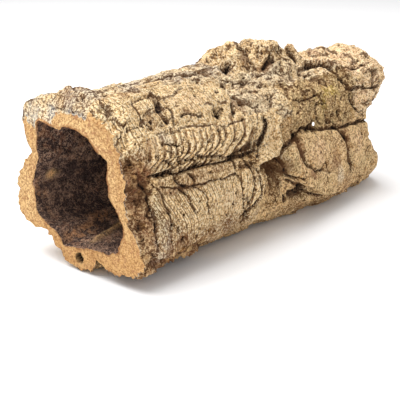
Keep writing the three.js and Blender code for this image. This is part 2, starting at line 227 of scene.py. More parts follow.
# middle x and angle, half length and half width in mm, height and how square
lumps = {
    "knob, low hump": (0.3, 80, 7.6, 8.5, 5, 4),
    "knob, high hump": (18.7, 84, 7.2, 10, 8.6, 4),
    "curled chip behind the knob": (33.4, 89, 2.7, 3.6, 5.4, 3),
    "chip near the sawn end": (-69, 74, 3, 2.6, 1, 2),
    "upper lobe of the broken end": (62, 106, 13, 16, 0.7, 2.6),
    "back burr": (-24, 24, 13, 8, 2.4, 2.4),
    "back burr, far": (38, 334, 16, 8, 1.8, 2.4),
}

# width, depth and line of each deep crack; most are shallower than in the solid, because finer cracks lie
# in them
grooves = {
    "seam where the bark closed": (2, 1, [(-64, 164), (-60, 164), (-42, 164), (-28, 167), (-20, 171)]),
    "gap beside the hook": (1.9, 0.3, [(-22, 168), (-16.5, 160), (-14, 149)]),
    "seam to the notch": (1.8, 0.9, [(-7, 173), (1, 167), (8, 161), (19, 165), (31, 170), (54, 173)]),
    "deep hollow": (4.4, 5, [(-10, 186), (-8, 192), (-3, 205)]),
    "recess beside the hook": (7, 2.6, [(-11, 188), (-9, 198)]),
    "crack in the near block": (1.5, 0.6, [(7, 166), (8, 179), (11, 194), (22, 198)]),
    "crack in the far block": (1.4, 0.6, [(31, 170), (36, 184), (42, 199), (46, 214)]),
    "crack of the hook": (1.2, 0.4, [(-11, 147), (-12, 161), (-16, 171)]),
    "edge of the flaky top": (2, 0.8, [(-70, 94), (-58, 93), (-46, 97), (-34, 101), (-17, 116), (-3, 122),
        (12, 124)]),
    "crease under the upper lobe": (1.8, 1, [(14, 121), (26, 114), (33, 109), (40, 117), (45, 138),
        (48, 150), (53, 163)]),
    "crack between the top blocks": (1.4, 0.6, [(-49, 104), (-52, 118), (-54, 131)]),
    "border of the ringed band": (1.6, 0.4, [(-70, 132), (-50, 135), (-38, 137), (-24, 143)]),
    "ring of the lower lobe, near": (1.3, 0.3, [(-58, 176), (-52, 198), (-52, 236)]),
    "ring of the lower lobe, far": (1.3, 0.3, [(-36, 180), (-32, 198), (-32, 232)]),
    "foot of the knob": (2.2, 1.1, [(-16, 101), (-6, 100), (9, 103), (22, 101), (33, 96), (34, 78)]),
    "back seam": (2.2, 2.6, [(-62, 19), (-50, 20), (-20, 8), (10, 6), (40, 14), (77, 10)]),
    "back crack, near": (1.5, 2, [(-48, 20), (-44, 350), (-50, 326)]),
    "back crack, far": (1.5, 2, [(8, 6), (14, 340), (10, 316)]),
    "crack over the back": (1.4, 1.8, [(-6, 14), (-2, 36), (-8, 58)]),
}

# height, width, reach and line of each ledge; the bark stands up on the right hand of its line
ledges = {
    "upper bank of the seam": (1.6, 2, 11, [(-24, 163), (-34, 161), (-48, 160), (-64, 159)]),
    "hook": (2, 1.4, 7, [(-3, 150), (-2, 163), (-4, 172), (-8, 180), (-17, 179), (-15, 163), (-13, 148)]),
    "blocks at the broken end": (2.2, 2, 14, [(42, 230), (28, 223), (14, 214), (3, 203), (-4, 187),
        (-3, 172)]),
    "lip of the lower lobe": (1.6, 2, 12, [(-22, 175), (-17, 186), (-17, 200), (-22, 214)]),
    "upper lobe": (1.8, 2, 13, [(55, 162), (49, 148), (45, 130), (39, 114), (31, 106)]),
    "back plate": (1.8, 2.2, 14, [(8, 336), (10, 318), (28, 304), (54, 306)]),
}

# half width, height and line of each bank and ridge, which the solid leaves out
banks = {
    "banks of the seam": (3.4, 2.8, [(-70, 163), (-62, 162.5), (-42, 163), (-28, 166), (-21, 170)]),
    "saddle of the knob": (3.6, 3.7, [(6, 84), (7, 76)]),
    "near shoulder of the upper lobe": (4.5, 2, [(44, 88), (51, 92)]),
    "grey hump at the sawn end": (6, 2.4, [(-75, 36), (-70, 43)]),
    "crumbly hump at the sawn end": (2.6, 1.6, [(-71, 69), (-67, 77)]),
    "upper lobe": (9, 2.3, [(69, 102), (67, 126)]),
}

# angle, and how much the skin falls towards the sawn edge and stands back from it there
sawnBevel = [
    (0, 0.3), (28, 0.5), (40, 0.9), (52, 1.6), (64, 2.3), (80, 2.3), (98, 2.1), (112, 1.4), (128, 0.5),
    (180, 0.3), (260, 0.4), (330, 0.4),
]
sawnSetback = [
    (0, 0.1), (24, 0.1), (35, 2), (44, 3), (54, 2.8), (62, 1.4), (75, 1.2), (100, 1.1), (116, 0.5),
    (132, 0.1), (330, 0.1),
]

# angle, and how far out across the cut the bark begins; 1 is the edge of the skin
barkEdge = [
    (0, 2), (36, 2), (39, 0.12), (54, 0.12), (60, 0.6), (68, 0.85), (92, 0.82), (104, 0.95), (112, 2),
]

# a blind hole in the cut
blindHole = {"y": 0.3, "z": 4.3, "radius": 1.5, "depth": 3.4}

# width, depth and line of the narrow cracks that only the fine bark has, by the place where they are
fineCracks = {
    "top blocks": [
        (1.5, 3.2, [(-51, 112), (-52, 117), (-54, 123), (-54, 130)]),
        (0.5, 1, [(-52, 118), (-50, 124), (-52, 133)]),
        (0.7, 1, [(-48, 130), (-44, 131), (-40, 134)]),
        (0.5, 1, [(-61, 134), (-63, 128), (-62, 118), (-62, 113), (-56, 109), (-52, 108)]),
        (0.9, 1.8, [(-22, 130), (-26, 140)]),
        (0.8, 1.5, [(-21, 133), (-21, 141)]),
    ],
    "ringed band": [
        (0.5, 0.6, [(-51, 138), (-43, 140), (-38, 142), (-32, 146), (-27, 144), (-22, 144)]),
        (0.6, 1.3, [(-60, 145), (-57, 146), (-54, 148)]),
        (0.6, 1.4, [(-49, 158), (-43, 161), (-36, 164), (-32, 166)]),
        (0.6, 1.4, [(-62, 156), (-58, 160), (-58, 167)]),
        (0.6, 1.4, [(-56, 156), (-54, 162), (-54, 166)]),
        (0.6, 1.2, [(-52, 160), (-49, 162), (-46, 166)]),
    ],
    "seam and strip": [
        (0.9, 2.4, [(-67, 164), (-64, 164), (-60, 164), (-56, 168), (-54, 167), (-52, 166), (-49, 165),
         (-44, 166), (-38, 168), (-34, 168), (-27, 168), (-21, 168), (-18, 166), (-16, 162)]),
        (0.7, 1.6, [(-58, 168), (-56, 174), (-54, 177)]),
        (0.6, 1.4, [(-52, 169), (-50, 174), (-50, 178)]),
        (0.5, 1.1, [(-32, 169), (-30, 176), (-30, 180)]),
        (0.5, 0.9, [(-63, 174), (-58, 176), (-54, 178), (-50, 178), (-46, 179), (-43, 178), (-40, 180),
         (-35, 180), (-30, 179)]),
    ],
    "lower lobe": [
        (0.7, 0.8, [(-71, 167), (-68, 174), (-68, 182), (-67, 191), (-68, 198), (-68, 206)]),
        (0.6, 0.7, [(-66, 170), (-63, 178), (-62, 187), (-62, 194), (-62, 202)]),
        (0.5, 0.8, [(-56, 178), (-53, 186), (-52, 195)]),
        (0.5, 0.7, [(-50, 180), (-46, 188), (-46, 196)]),
        (0.6, 1.5, [(-32, 170), (-30, 178), (-29, 188), (-28, 198), (-28, 204)]),
        (0.6, 1.4, [(-26, 172), (-24, 181), (-23, 190), (-24, 198), (-26, 204), (-29, 211)]),
        (0.9, 2, [(-24, 174), (-20, 182), (-20, 190), (-19, 196), (-21, 201), (-25, 206), (-27, 216)]),
    ],
    "hook": [
        (0.8, 2.2, [(-12.5, 147), (-13, 152), (-13.5, 158), (-14.5, 163), (-16, 168), (-19, 172)]),
        (0.5, 1.2, [(-13.5, 142), (-15.5, 147), (-17, 153), (-17.5, 160), (-21, 167), (-23, 171)]),
        (1.7, 2.6, [(-3.5, 148), (-3, 157), (-1, 165), (-3.5, 173), (-7.5, 180.5)]),
        (1.5, 3, [(-6, 181.5), (-17, 181.5)]),
        (1.3, 2.8, [(-17.5, 157), (-19, 162), (-24.5, 164), (-28, 165), (-31, 167)]),
    ],
    "blocks at the broken end": [
        (0.7, 1.6, [(-7, 176), (-6, 184), (-3, 195), (1, 198)]),
        (0.8, 2, [(-2, 171), (1, 170), (8, 167)]),
        (2.5, 3.3, [(6.5, 170), (5.5, 175), (5.8, 179), (8, 188)]),
        (1, 1.8, [(8, 186), (12, 196)]),
        (0.6, 1.4, [(12, 196), (17, 198), (20, 194)]),
        (0.5, 1, [(20, 194), (21, 200), (20, 207)]),
        (1.9, 2.8, [(33, 172), (36, 184), (37, 193), (40, 206)]),
        (0.8, 1.9, [(8, 166), (12, 162), (19, 166), (24, 169), (30, 171), (40, 172), (50, 174),
         (58, 175)]),
        (0.5, 1, [(18, 168), (18, 174)]),
        (0.6, 1.4, [(-3, 196), (0, 198), (4, 197)]),
        (0.8, 1.8, [(-2, 200), (3, 203), (12, 214), (18, 217), (26, 219), (36, 221), (54, 228)]),
        (0.6, 1.2, [(54, 184), (56, 196), (52, 200)]),
    ],
    "olive blocks": [
        (0.6, 1.4, [(21, 149), (21, 158), (24, 166)]),
        (0.6, 1.4, [(27, 152), (28, 162), (32, 170)]),
        (0.6, 1.3, [(35, 159), (39, 170)]),
        (0.6, 1.2, [(16, 141), (15, 152), (14, 158)]),
        (0.6, 1.2, [(9, 138), (14, 140), (22, 140), (25, 138)]),
        (0.6, 1, [(22, 147), (28, 149)]),
    ],
    "upper lobe": [
        (0.9, 1.8, [(34, 108), (40, 115), (42, 123), (44, 132), (46, 139), (44, 150), (48, 160),
         (52, 166)]),
        (0.7, 1.1, [(47, 121), (50, 127), (56, 128), (60, 126)]),
        (0.7, 1.4, [(44, 141), (49, 144), (54, 146), (64, 147)]),
    ],
    "sawn end and top": [
        (1.3, 3.4, [(-77, 252), (-71, 252)]),
        (0.8, 1.6, [(-18, 108), (-13, 113), (-6, 114)]),
        (0.8, 1.5, [(-66, 84), (-52, 82), (-40, 86), (-30, 85)]),
        (0.7, 1.3, [(-60, 72), (-44, 70), (-28, 74), (-12, 72)]),
    ],
}

# x, angle, half length and half width in mm, and depth of each pit
pits = {
    "oval hole": (-32, 134, 2.1, 2.4, 4.4),
    "pit over the ringed band": (-52, 134, 0.8, 0.9, 1.8),
    "hole in the knob": (-8, 95.5, 3.2, 2.0, 3.6),
    "hollow under the knob": (13, 101, 4, 1.2, 1.6),
    "hole in the grey band": (-6, 108, 1.8, 1, 2),
    "hollow in the curled chip": (30, 95.5, 2.4, 2.2, 3),
    "black hole by the seam": (28, 166, 1.2, 1.3, 3),
    "mouth of the pinhole": (18, 162, 1.6, 1.6, 1.8),
    "hole in the upper lobe": (56, 86, 1.8, 1.4, 2.2),
    "second hole in the upper lobe": (54, 143, 1.6, 1.2, 2),
    "third hole in the upper lobe": (49, 110, 1.5, 1.2, 1.6),
    "hole in the lower lobe": (-61, 199, 0.9, 0.8, 1.8),
    "second hole in the lower lobe": (-59, 202, 0.8, 0.9, 1.8),
    "third hole in the lower lobe": (-57, 209, 1.1, 0.9, 2),
    "hole at the foot of the lobe": (-26, 209, 1.4, 1.1, 2.2),
    "rusty pocket": (-69, 168, 3, 2.6, 0.7),
    "hole under the blocks": (5, 210.5, 6.5, 2.7, 4.6),
    "hole beside it": (-2, 213, 1.2, 1.5, 2),
    "black hole of the knob": (3.5, 90.5, 1.5, 1.5, 2.4),
    "back hole": (-30, 348, 1.4, 1.6, 3),
    "second back hole": (22, 30, 1.8, 1.2, 2.6),
}


def smoothstep(value, low, high):
    share = np.clip((value - low) / (high - low), 0, 1)
    return share * share * (3 - 2 * share)


def turnFrom(angle, centre):
    return (angle - centre + 180) % 360 - 180


def outlineRadius(outline, angle):
    # smooth closed curve through the points of an outline
    angles = np.array([point[0] for point in outline], float)
    radii = np.array([point[1] for point in outline], float)
    count = len(outline)
    start = (np.searchsorted(angles, angle % 360, side="right") - 1) % count
    before, end, after = (start - 1) % count, (start + 1) % count, (start + 2) % count
    span = (angles[end] - angles[start]) % 360
    spanBefore = (angles[start] - angles[before]) % 360
    spanAfter = (angles[after] - angles[end]) % 360
    slopeStart = (radii[end] - radii[before]) / (span + spanBefore) * span
    slopeEnd = (radii[after] - radii[start]) / (span + spanAfter) * span
    u = ((angle - angles[start]) % 360) / span
    uu, uuu = u * u, u * u * u
    return ((2 * uuu - 3 * uu + 1) * radii[start] + (uuu - 2 * uu + u) * slopeStart
            + (3 * uu - 2 * uuu) * radii[end] + (uuu - uu) * slopeEnd)


def sectionRadius(sections, x, angle):
    places = [section[0] for section in sections]
    radius = outlineRadius(sections[0][1], angle)
    for i in range(1, len(sections)):
        step = outlineRadius(sections[i][1], angle) - outlineRadius(sections[i - 1][1], angle)
        radius = radius + step * smoothstep(x, places[i - 1], places[i])
    return radius


def placeByLine(line, x, angle):
    # distance from a drawn line, positive on its right hand, and how far beyond its ends
    middle = line[0][1]
    across = np.full(x.shape, 1e3)
    beyond = np.zeros(x.shape)
    nearest = np.full(x.shape, 1e3)
    around = turnFrom(angle, middle) * mmPerDegree
    points = [(px, turnFrom(pa, middle) * mmPerDegree) for px, pa in line]
    for i in range(1, len(points)):
        (startX, startV), (endX, endV) = points[i - 1], points[i]
        run = math.hypot(endX - startX, endV - startV)
        alongX, alongV = (endX - startX) / run, (endV - startV) / run
        offX, offV = x - startX, around - startV
        reached = offX * alongX + offV * alongV
        side = alongX * offV - alongV * offX
        past = np.zeros(x.shape)
        if i == 1:
            past = past + np.maximum(-reached, 0)
        if i == len(points) - 1:
            past = past + np.maximum(reached - run, 0)
        gap = np.clip(reached, 0, run) - reached
        distance = np.hypot(side, gap)
        signed = np.where(side < 0, -1, 1) * np.where(past > 0, np.abs(side), distance)
        closer = distance < nearest
        nearest = np.where(closer, distance, nearest)
        across = np.where(closer, signed, across)
        beyond = np.where(closer, past, beyond)
    return across, beyond


def grooveShare(line, width, x, angle):
    across, beyond = placeByLine(line, x, angle)
    return np.exp(-(across / width) ** 2) * (1 - smoothstep(beyond, 0, 2 * width))


def formRadius(x, angle):
    # the main shape, as the solid has it, with its grooves drawn narrower and its banks fuller
    radius = sectionRadius(skinSections, x, angle)
    for lumpX, lumpAngle, halfLong, halfWide, height, square in lumps.values():
        long = np.abs(x - lumpX) / halfLong
        wide = np.abs(turnFrom(angle, lumpAngle)) * mmPerDegree / halfWide
        radius = radius + height * np.exp(-long ** square - wide ** square)
    for height, width, reach, line in ledges.values():
        across, beyond = placeByLine(line, x, angle)
        rise = smoothstep(across, 0, width) * (1 - smoothstep(across, width, reach))
        radius = radius + height * rise * (1 - smoothstep(beyond, 0, 2 * width))
    for halfWidth, height, line in banks.values():
        radius = radius + height * grooveShare(line, halfWidth, x, angle)
    for width, depth, line in grooves.values():
        radius = radius - depth * grooveShare(line, width * tube["narrowing"], x, angle)
    atSaw = 1 - smoothstep(x + halfLength, 0, tube["bevelReach"])
    return radius - outlineRadius(sawnBevel, angle) * atSaw


# Patterns of the bark, read in the round so that they close on themselves. A place on the bark is its x,
# its angle and the radius of the main shape there. Each pattern has a start of its own, so that no two of
# them are alike.

def spread(at, long, wide, start):
    x, angle, radius = at
    turned = np.radians(angle)
    y, z = radius * np.cos(turned) / wide, radius * np.sin(turned) / wide
    return np.stack([x / long + start, y, z], -1)


def unevenness(at, long, wide, start, octaves=1):
    places = spread(at, long, wide, start).tolist()
    return np.array([noise.fractal(place, 1.0, 2.0, octaves) for place in places])


def creases(at, long, wide, start, octaves=3):
    # rounded lumps with sharp valleys between them, about -0.5 to 0.5
    places = spread(at, long, wide, start).tolist()
    return np.array([noise.turbulence(place, octaves, True) for place in places]) - 0.45


def plates(at, long, wide, start):
    # distance in mm from the nearest gap between bent plates, a level for each, and where on it a point is
    size = min(long, wide)
    x, angle, radius = at
    bend = 0.26 * long * unevenness(at, 0.7 * long, 0.7 * wide, start + 11.5, 2)
    turned = 0.26 * wide / mmPerDegree * unevenness(at, 0.7 * long, 0.7 * wide, start + 13.5, 2)
    at = (x + bend, angle + turned, radius)
    found = np.empty((at[0].size, 4))
    for i, place in enumerate(spread(at, long, wide, start).tolist()):
        distances, middles = noise.voronoi(place)
        middle = middles[0]
        gap = (distances[1] - distances[0]) * size / 2
        turn = (place[2] * middle[1] - place[1] * middle[2]) / math.hypot(place[1], place[2])
        found[i] = (gap, noise.cell(middle) * 2 - 1, place[0] - middle[0], turn)
    return found.T


def bandBow(x, angle):
    # the slats of the ringed band hang straight and sweep back to the sawn end at their feet
    bow = 0.1 * (150 - angle) - 0.045 * np.clip(angle - 151, 0, 6) ** 2
    return bow - 0.55 * np.clip(angle - 157, 0, 12)


def lobeBow(x, angle):
    # lines slant away at the near side of the lower lobe and bow like a bracket at its far side
    bow = 5.5 * smoothstep(angle, 174, 206) * (1 - smoothstep(x, -50, -30))
    return bow - 5 * np.clip((angle - 188) / 18, 0, 1.6) ** 1.5 * smoothstep(x, -42, -20)


def layers(at, kind):
    # growth lines of uneven width, counted along the tube or, on flaky bark, round it
    x, angle = at[:2]
    pitch, step, tilt, depth = kind["lines"][:4]
    if kind.get("lengthwise"):
        place = turnFrom(angle, sum(kind["angle"]) / 2) * mmPerDegree
    else:
        place = x - kind["bow"](x, angle) if "bow" in kind else x
    wander = kind.get("wander", 1)
    place = place + 0.6 * wander * unevenness(at, 16, 9, kind["start"] + 0.2)
    place = place + 0.12 * unevenness(at, 3.2, 3.6, kind["start"])
    rng = np.random.default_rng(int(kind["start"]))
    edges = kind.get("edges")
    if edges is None:
        count = int(1.2 * np.ptp(place) / pitch) + 4
        edges = place.min() + np.cumsum(pitch * rng.uniform(0.6, 1.45, count))
    edges = np.concatenate([[-400], edges, [400]])
    number = np.interp(place, edges, np.arange(edges.size))
    layer = np.minimum(number.astype(int), edges.size - 2)
    share = number - layer
    gap = np.minimum(share, 1 - share) * (edges[layer + 1] - edges[layer])
    level = rng.uniform(-1, 1, edges.size)[layer]
    closed = kind.get("closed", 0.65)
    opened = 1 - closed * smoothstep(unevenness(at, 4, 5, kind["start"] + 9.2), 0.25, -0.3)
    if "opening" in kind:
        opened = opened * (0.35 + 0.65 * smoothstep(angle, *kind["opening"]))
    nearest = layer + (share > 0.5)
    crack = opened * rng.uniform(0.6, 1.1, edges.size)[nearest]
    crack = crack * np.exp(-(gap / kind.get("gap", 0.36)) ** 2)
    height = step * level + tilt * (share - 0.5) - depth * crack
    return height, np.clip(depth, 0, 1) * crack, level, number, place


def barkPattern(at, kind):
    start = kind["start"]
    height, crack, level, number, place = layers(at, kind)
    level = 0.5 * level
    if "plates" in kind:
        long, wide, step, depth, chips = kind["plates"]
        gap, plateLevel, lean, turn = plates(at, long, wide, start + 2.4)
        opened = 0.15 + 0.85 * smoothstep(unevenness(at, 0.9 * long, 0.9 * wide, start + 17.5), -0.3, 0.1)
        plateCrack = opened * np.exp(-(gap / 0.34) ** 2)
        height = height + step * (plateLevel + 0.7 * lean + 0.9 * turn) - depth * plateCrack
        gap, chipLevel, lean, turn = plates(at, 0.38 * long, 0.38 * wide, start + 7.3)
        chipCrack = chips * opened * np.exp(-(gap / 0.26) ** 2)
        height = height + chips * (0.5 * step * (chipLevel + lean + turn)) - depth * chipCrack
        crack = np.maximum(crack, np.maximum(plateCrack, chipCrack))
        level = level + 0.5 * plateLevel + 0.4 * chips * chipLevel
    if "fissures" in kind:
        long, wide, depth = kind["fissures"]
        winding = unevenness(at, long, wide, start + 19.5, 2)
        beside = (at[0] + 0.4, at[1] + 0.4 / mmPerDegree, at[2])
        slope = np.abs(unevenness(beside, long, wide, start + 19.5, 2) - winding) / 0.55
        fissure = np.exp(-(winding / (0.36 * np.maximum(slope, 0.02))) ** 2)
        fissure = fissure * smoothstep(unevenness(at, long, wide, start + 23.5), -0.2, 0.1)
        height = height - depth * fissure
        crack = np.maximum(crack, 0.9 * fissure)
    lumpy = creases(at, 3.8, 3.4, start + 5.7)
    height = height + kind["crease"] * lumpy
    # the valleys between the lumps are marked as cracks, which the finish darkens as painted shade
    crack = np.maximum(crack, 0.6 * min(1, kind["crease"]) * smoothstep(-lumpy, 0.28, 0.44))
    return height, crack, level + 0.5 * lumpy, number, place


# x of the gaps between the slats of the ringed band
slatEdges = [-69, -66, -63, -60.4, -57.8, -55.4, -53.2, -50.6, -48.2, -45.2, -42.6, -39.8, -36.4, -33.6,
             -28.8, -23.5, -18.5]

# Each kind of bark and its soft-edged field of x and angle; the first ones lie over the later ones. Lines
# are pitch, step, tilt and depth in mm and strength; plates are their length, width, step and crack depth
# in mm, and how chipped; fissures are their length, width and depth.
barkKinds = {
    "hook": {"start": 3.1, "x": (-19, -3), "angle": (143, 181), "lines": (1.3, 0.06, 0.08, 0.15, 0.3),
        "wander": 0.3, "crease": 0.12, "rough": 0.25, "pale": 0.95},
    # the recess gets a little painted shade as its dark share
    "recess": {"start": 6.1, "x": (-17, -4), "angle": (181, 215), "lines": (1.5, 0.1, 0, 0.2, 0.3),
        "plates": (3, 3, 0.25, 0.3, 0.4), "crease": 0.4, "rough": 0.6, "dark": 0.1, "brown": 0.4,
        "olive": 0.3},
    "blocks at the broken end": {"start": 9.1, "x": (-4, 80), "angle": (168, 219),
        "lines": (1.5, 0.05, 0.06, 0.12, 0.4), "wander": 0.3, "crease": 0.12, "rough": 0.3, "pale": 0.4,
        "brown": 0.25},
    "strip": {"start": 5.1, "x": (-64, -29), "angle": (166, 179), "lines": (1.5, 0.08, 0.1, 0.2, 0.7),
        "wander": 0.35, "crease": 0.12, "rough": 0.3, "pale": 0.6, "brown": 0.3},
    "ringed band": {"start": 4.1, "x": (-67, -19), "angle": (139, 166), "bow": bandBow,
        "edges": slatEdges, "lines": (2.4, 0.2, -0.72, 1.2, 0.7), "wander": 0.25, "closed": 0.2,
        "gap": 0.6, "opening": (144, 152), "crease": 0.08, "rough": 0.25, "pale": 0.95},
    "crumbs at the foot": {"start": 37.1, "x": (-71, -44), "angle": (214, 250),
        "lines": (1.7, 0.1, 0.12, 0.2, 0.3), "plates": (4.5, 4, 0.8, 0.7, 0.6), "crease": 1.1,
        "rough": 1.0, "brown": 0.7, "rust": 0.75, "pale": 0.4},
    "lower lobe": {"start": 11.1, "x": (-67, -16), "angle": (178, 222), "bow": lobeBow,
        "lines": (1.6, 0.08, 0.1, 0.25, 0.8), "wander": 0.25, "crease": 0.1, "rough": 0.2, "pale": 0.68},
    "top blocks": {"start": 1.1, "x": (-80, -21), "angle": (98, 146),
        "lines": (1.4, 0.06, 0.1, 0.15, 0.7), "plates": (13, 8, 0.2, 0.3, 0.1), "fissures": (9, 6, 0.12),
        "crease": 0.14, "rough": 0.42, "pale": 1.35},
    "olive blocks": {"start": 8.1, "x": (6, 48), "angle": (121, 169),
        "lines": (1.6, 0.08, 0.12, 0.2, 0.5), "plates": (5, 7, 0.25, 0.55, 0.3), "fissures": (5, 7, 0.3),
        "crease": 0.2, "rough": 0.5, "olive": 0.5, "pale": 0.3, "brown": 0.38},
    "grey crumbs": {"start": 2.1, "x": (-24, 36), "angle": (103, 150), "lines": (1.6, 0.1, 0.1, 0.2, 0.2),
        "plates": (5.4, 3.2, 0.25, 0.45, 0.4), "fissures": (9, 2.4, 0.4), "crease": 0.4, "rough": 0.9,
        "grey": 0.4, "pale": 1.4},
    "knob": {"start": 12.1, "x": (-10, 34), "angle": (58, 104), "lines": (1.7, 0.1, 0.1, 0.2, 0.3),
        "plates": (6, 4, 0.3, 0.6, 0.5), "fissures": (9, 3, 0.4), "crease": 0.45, "rough": 1.0,
        "brown": 0.25, "pale": 0.7},
    "upper lobe": {"start": 15.1, "x": (34, 90), "angle": (50, 168),
        "lines": (1.8, 0.08, 0.1, 0.15, 0.15), "plates": (7, 5, 0.3, 0.4, 0.4), "fissures": (7, 5, 0.3),
        "crease": 0.4, "rough": 0.7, "pink": 0.6, "pale": 1.8},
    "near crumbs": {"start": 21.1, "x": (-90, -66), "angle": (140, 245), "lines": (1.6, 0.1, 0, 0.2, 0.2),
        "plates": (3.4, 3, 0.35, 0.4, 0.5), "crease": 0.6, "rough": 1.0, "brown": 0.9, "rust": 0.35,
        "grey": 0.1, "pale": 0.25},
    "flaky top": {"start": 25.1, "x": (-90, 40), "angle": (40, 104), "lengthwise": True,
        "lines": (1.5, 0.1, 0.12, 0.25, 0.5), "plates": (12, 5, 0.25, 0.45, 0.2),
        "fissures": (20, 3.4, 0.4), "crease": 0.2, "rough": 0.6, "grey": 0.65, "pale": 0.5},
    "back rings": {"start": 31.1, "x": (-62, -6), "angle": (296, 350),
        "lines": (1.9, 0.15, 0.2, 0.4, 0.8), "crease": 0.2, "rough": 0.5, "pale": 0.5},
    "back slabs": {"start": 33.1, "x": (-90, 90), "angle": (330, 402), "lengthwise": True,
        "lines": (1.7, 0.1, 0.12, 0.25, 0.5), "plates": (15, 7, 0.3, 0.7, 0.3), "fissures": (14, 5, 0.5),
        "crease": 0.3, "rough": 0.8, "grey": 0.3, "pale": 0.6},
    "foot": {"start": 40.1, "x": None, "angle": None, "lines": (1.7, 0.1, 0.12, 0.25, 0.5),
        "plates": (9, 7, 0.3, 0.6, 0.3), "fissures": (8, 5, 0.4), "crease": 0.35, "rough": 0.8,
        "brown": 0.4, "pale": 0.35},
}

# x, angle, half length and half width in mm, and strength of each patch; most are stains, and some of the
# dark and brown ones are painted shade
patches = {
    "rust": [(-71, 163, 5, 8, 0.95), (-73, 180, 3, 7, 0.7), (-60, 212, 7, 3, 0.8), (2, 97, 4, 1.6, 0.6),
        (9, 101, 5, 2, 0.6), (28, 96, 4, 3, 0.8), (-54, 178, 12, 1.6, 0.6), (-63, 186, 1.6, 9, 0.5),
        (-50, 171, 3, 3, 0.55), (50, 126, 6, 2, 0.6), (46, 92, 4, 3, 0.5), (-62, 100, 8, 2.4, 0.6),
        (-52, 108, 4, 2, 0.55), (-44, 129, 4, 2, 0.55), (-20, 134, 3, 4, 0.5), (-8, 192, 5, 9, 0.3),
        (26, 185, 3, 6, 0.35), (-69, 75, 5, 4, 0.5), (36, 86, 4, 3, 0.5), (27, 193, 3, 5, 0.7),
        (10, 196, 4, 1.6, 0.8), (35, 213, 4, 3, 0.5), (20, 340, 10, 6, 0.4), (-40, 12, 14, 3, 0.5),
        (-58, 330, 6, 6, 0.35), (36, 212, 9, 4, 0.3), (6, 177, 3.4, 6, 1.0), (37, 185, 2.2, 8, 0.9),
        (-57, 224, 10, 5, 0.7), (-70, 196, 4, 5, 0.6), (-40, 218, 20, 5, 0.4), (-44, 172, 14, 2, 0.4),
        (24, 198, 8, 2, 0.5), (-60, 130, 3, 5, 0.4), (-2.5, 158, 1.2, 5, 0.6), (-66, 146, 4, 3, 0.5),
        (54, 110, 5, 3, 0.5)],
    # the long brown patches along the lower front are partly the bark's own brown and partly painted shade
    # on its underside
    "brown": [(-58, 206, 11, 5, 0.8), (58, 192, 14, 9, 0.7), (-42, 218, 24, 6, 0.95),
        (20, 224, 30, 6, 0.85), (-66, 196, 3, 12, 0.5)],
    "grey": [(-72, 46, 8, 10, 1.0), (-58, 62, 12, 5, 0.7), (-50, 90, 16, 5, 0.5), (-20, 96, 14, 5, 0.45),
        (4, 112, 18, 4, 0.55), (-66, 205, 4, 10, 0.45), (-58, 141, 3, 2, 0.6), (30, 206, 3, 3, 0.6),
        (-20, 40, 24, 8, 0.4), (40, 60, 14, 6, 0.4)],
    "moss": [(34, 138, 5, 4, 1.0), (26, 144.5, 4.4, 3.6, 1.0), (26, 152, 2.6, 3.6, 1.0),
        (30, 141, 2.8, 2.8, 0.9)],
    # dark patches: those in the recess beside the hook, in the pockets of the knob and in the curled chip
    # are painted shadow, and those at the sawn end are dark lumps of the bark
    "dark": [(-6, 188, 4, 5, 1.0), (-70, 177, 3, 4, 0.7), (-71, 166, 2.6, 3.4, 0.5), (5, 93, 5, 1.5, 0.8),
        (10, 104, 4, 1.8, 0.8), (29, 96, 2.4, 2.4, 0.9), (26, 101, 3, 1.6, 0.6)],
    "pink": [(17, 184, 6, 5, 0.6), (44, 188, 6, 5, 0.45), (-40, 120, 9, 4, 0.3), (-34, 196, 6, 4, 0.3)],
    "olive": [(-1, 183, 3, 7, 0.55), (38, 197, 5, 7, 0.4), (52, 208, 9, 4, 0.5), (24, 178, 4, 3, 0.35),
        (-72.5, 111, 3.6, 3.2, 0.9), (40, 128, 6, 5, 0.6), (12, 214, 6, 3, 0.5), (16, 208, 12, 6, 0.3),
        (-66, 190, 3, 8, 0.4), (-59, 173, 4, 2, 0.3), (-4, 108, 6, 3, 0.3)],
}


def fieldShare(x, angle, kind):
    if kind["x"] is None:
        return np.ones(x.shape)
    (nearX, farX), (lowAngle, highAngle) = kind["x"], kind["angle"]
    along = smoothstep(x, nearX - 1, nearX + 1) * (1 - smoothstep(x, farX - 1, farX + 1))
    middle, half = (lowAngle + highAngle) / 2, (highAngle - lowAngle) / 2
    return along * (1 - smoothstep(np.abs(turnFrom(angle, middle)), half - 2, half + 2))


def patchShare(x, angle, places):
    share = np.zeros(x.shape)
    for patchX, patchAngle, halfLong, halfWide, strength in places:
        away = np.hypot((x - patchX) / halfLong, turnFrom(angle, patchAngle) * mmPerDegree / halfWide)
        share = np.maximum(share, strength * (1 - smoothstep(away, 0.45, 1.35)))
    return share


# heights in mm of the forms on the wall of the hollow, and the line of a rib on its floor
hollowWall = {
    "swells": 0.8,
    "plates": 0.25,
    "creases": 0.9,
    "crumbs": 0.5,
    "waves": 0.9,  # at the mouth, where there are few crumbs
    "bay": 2.6,  # in the mouth, behind the top
    "rib": 1.4,
    "ribLine": [(-69, 270), (-62, 278), (-57, 283.5), (-50, 290)],
}

# stained patches in the hollow, as on the bark
hollowPatches = {
    "pale": [(-67.7, 358, 2.2, 2.2, 1.0), (-72, 48, 2, 2, 0.3)],
    "rust": [(-73.5, 345, 1.2, 7, 0.7), (-71, 338, 0.9, 7, 0.5), (-66, 297, 8, 4, 1.0),
        (-56, 306, 6, 4, 0.7), (-74, 42, 3, 3, 0.9)],
}

tints = ("pale", "grey", "brown", "olive", "pink", "dark", "rust")

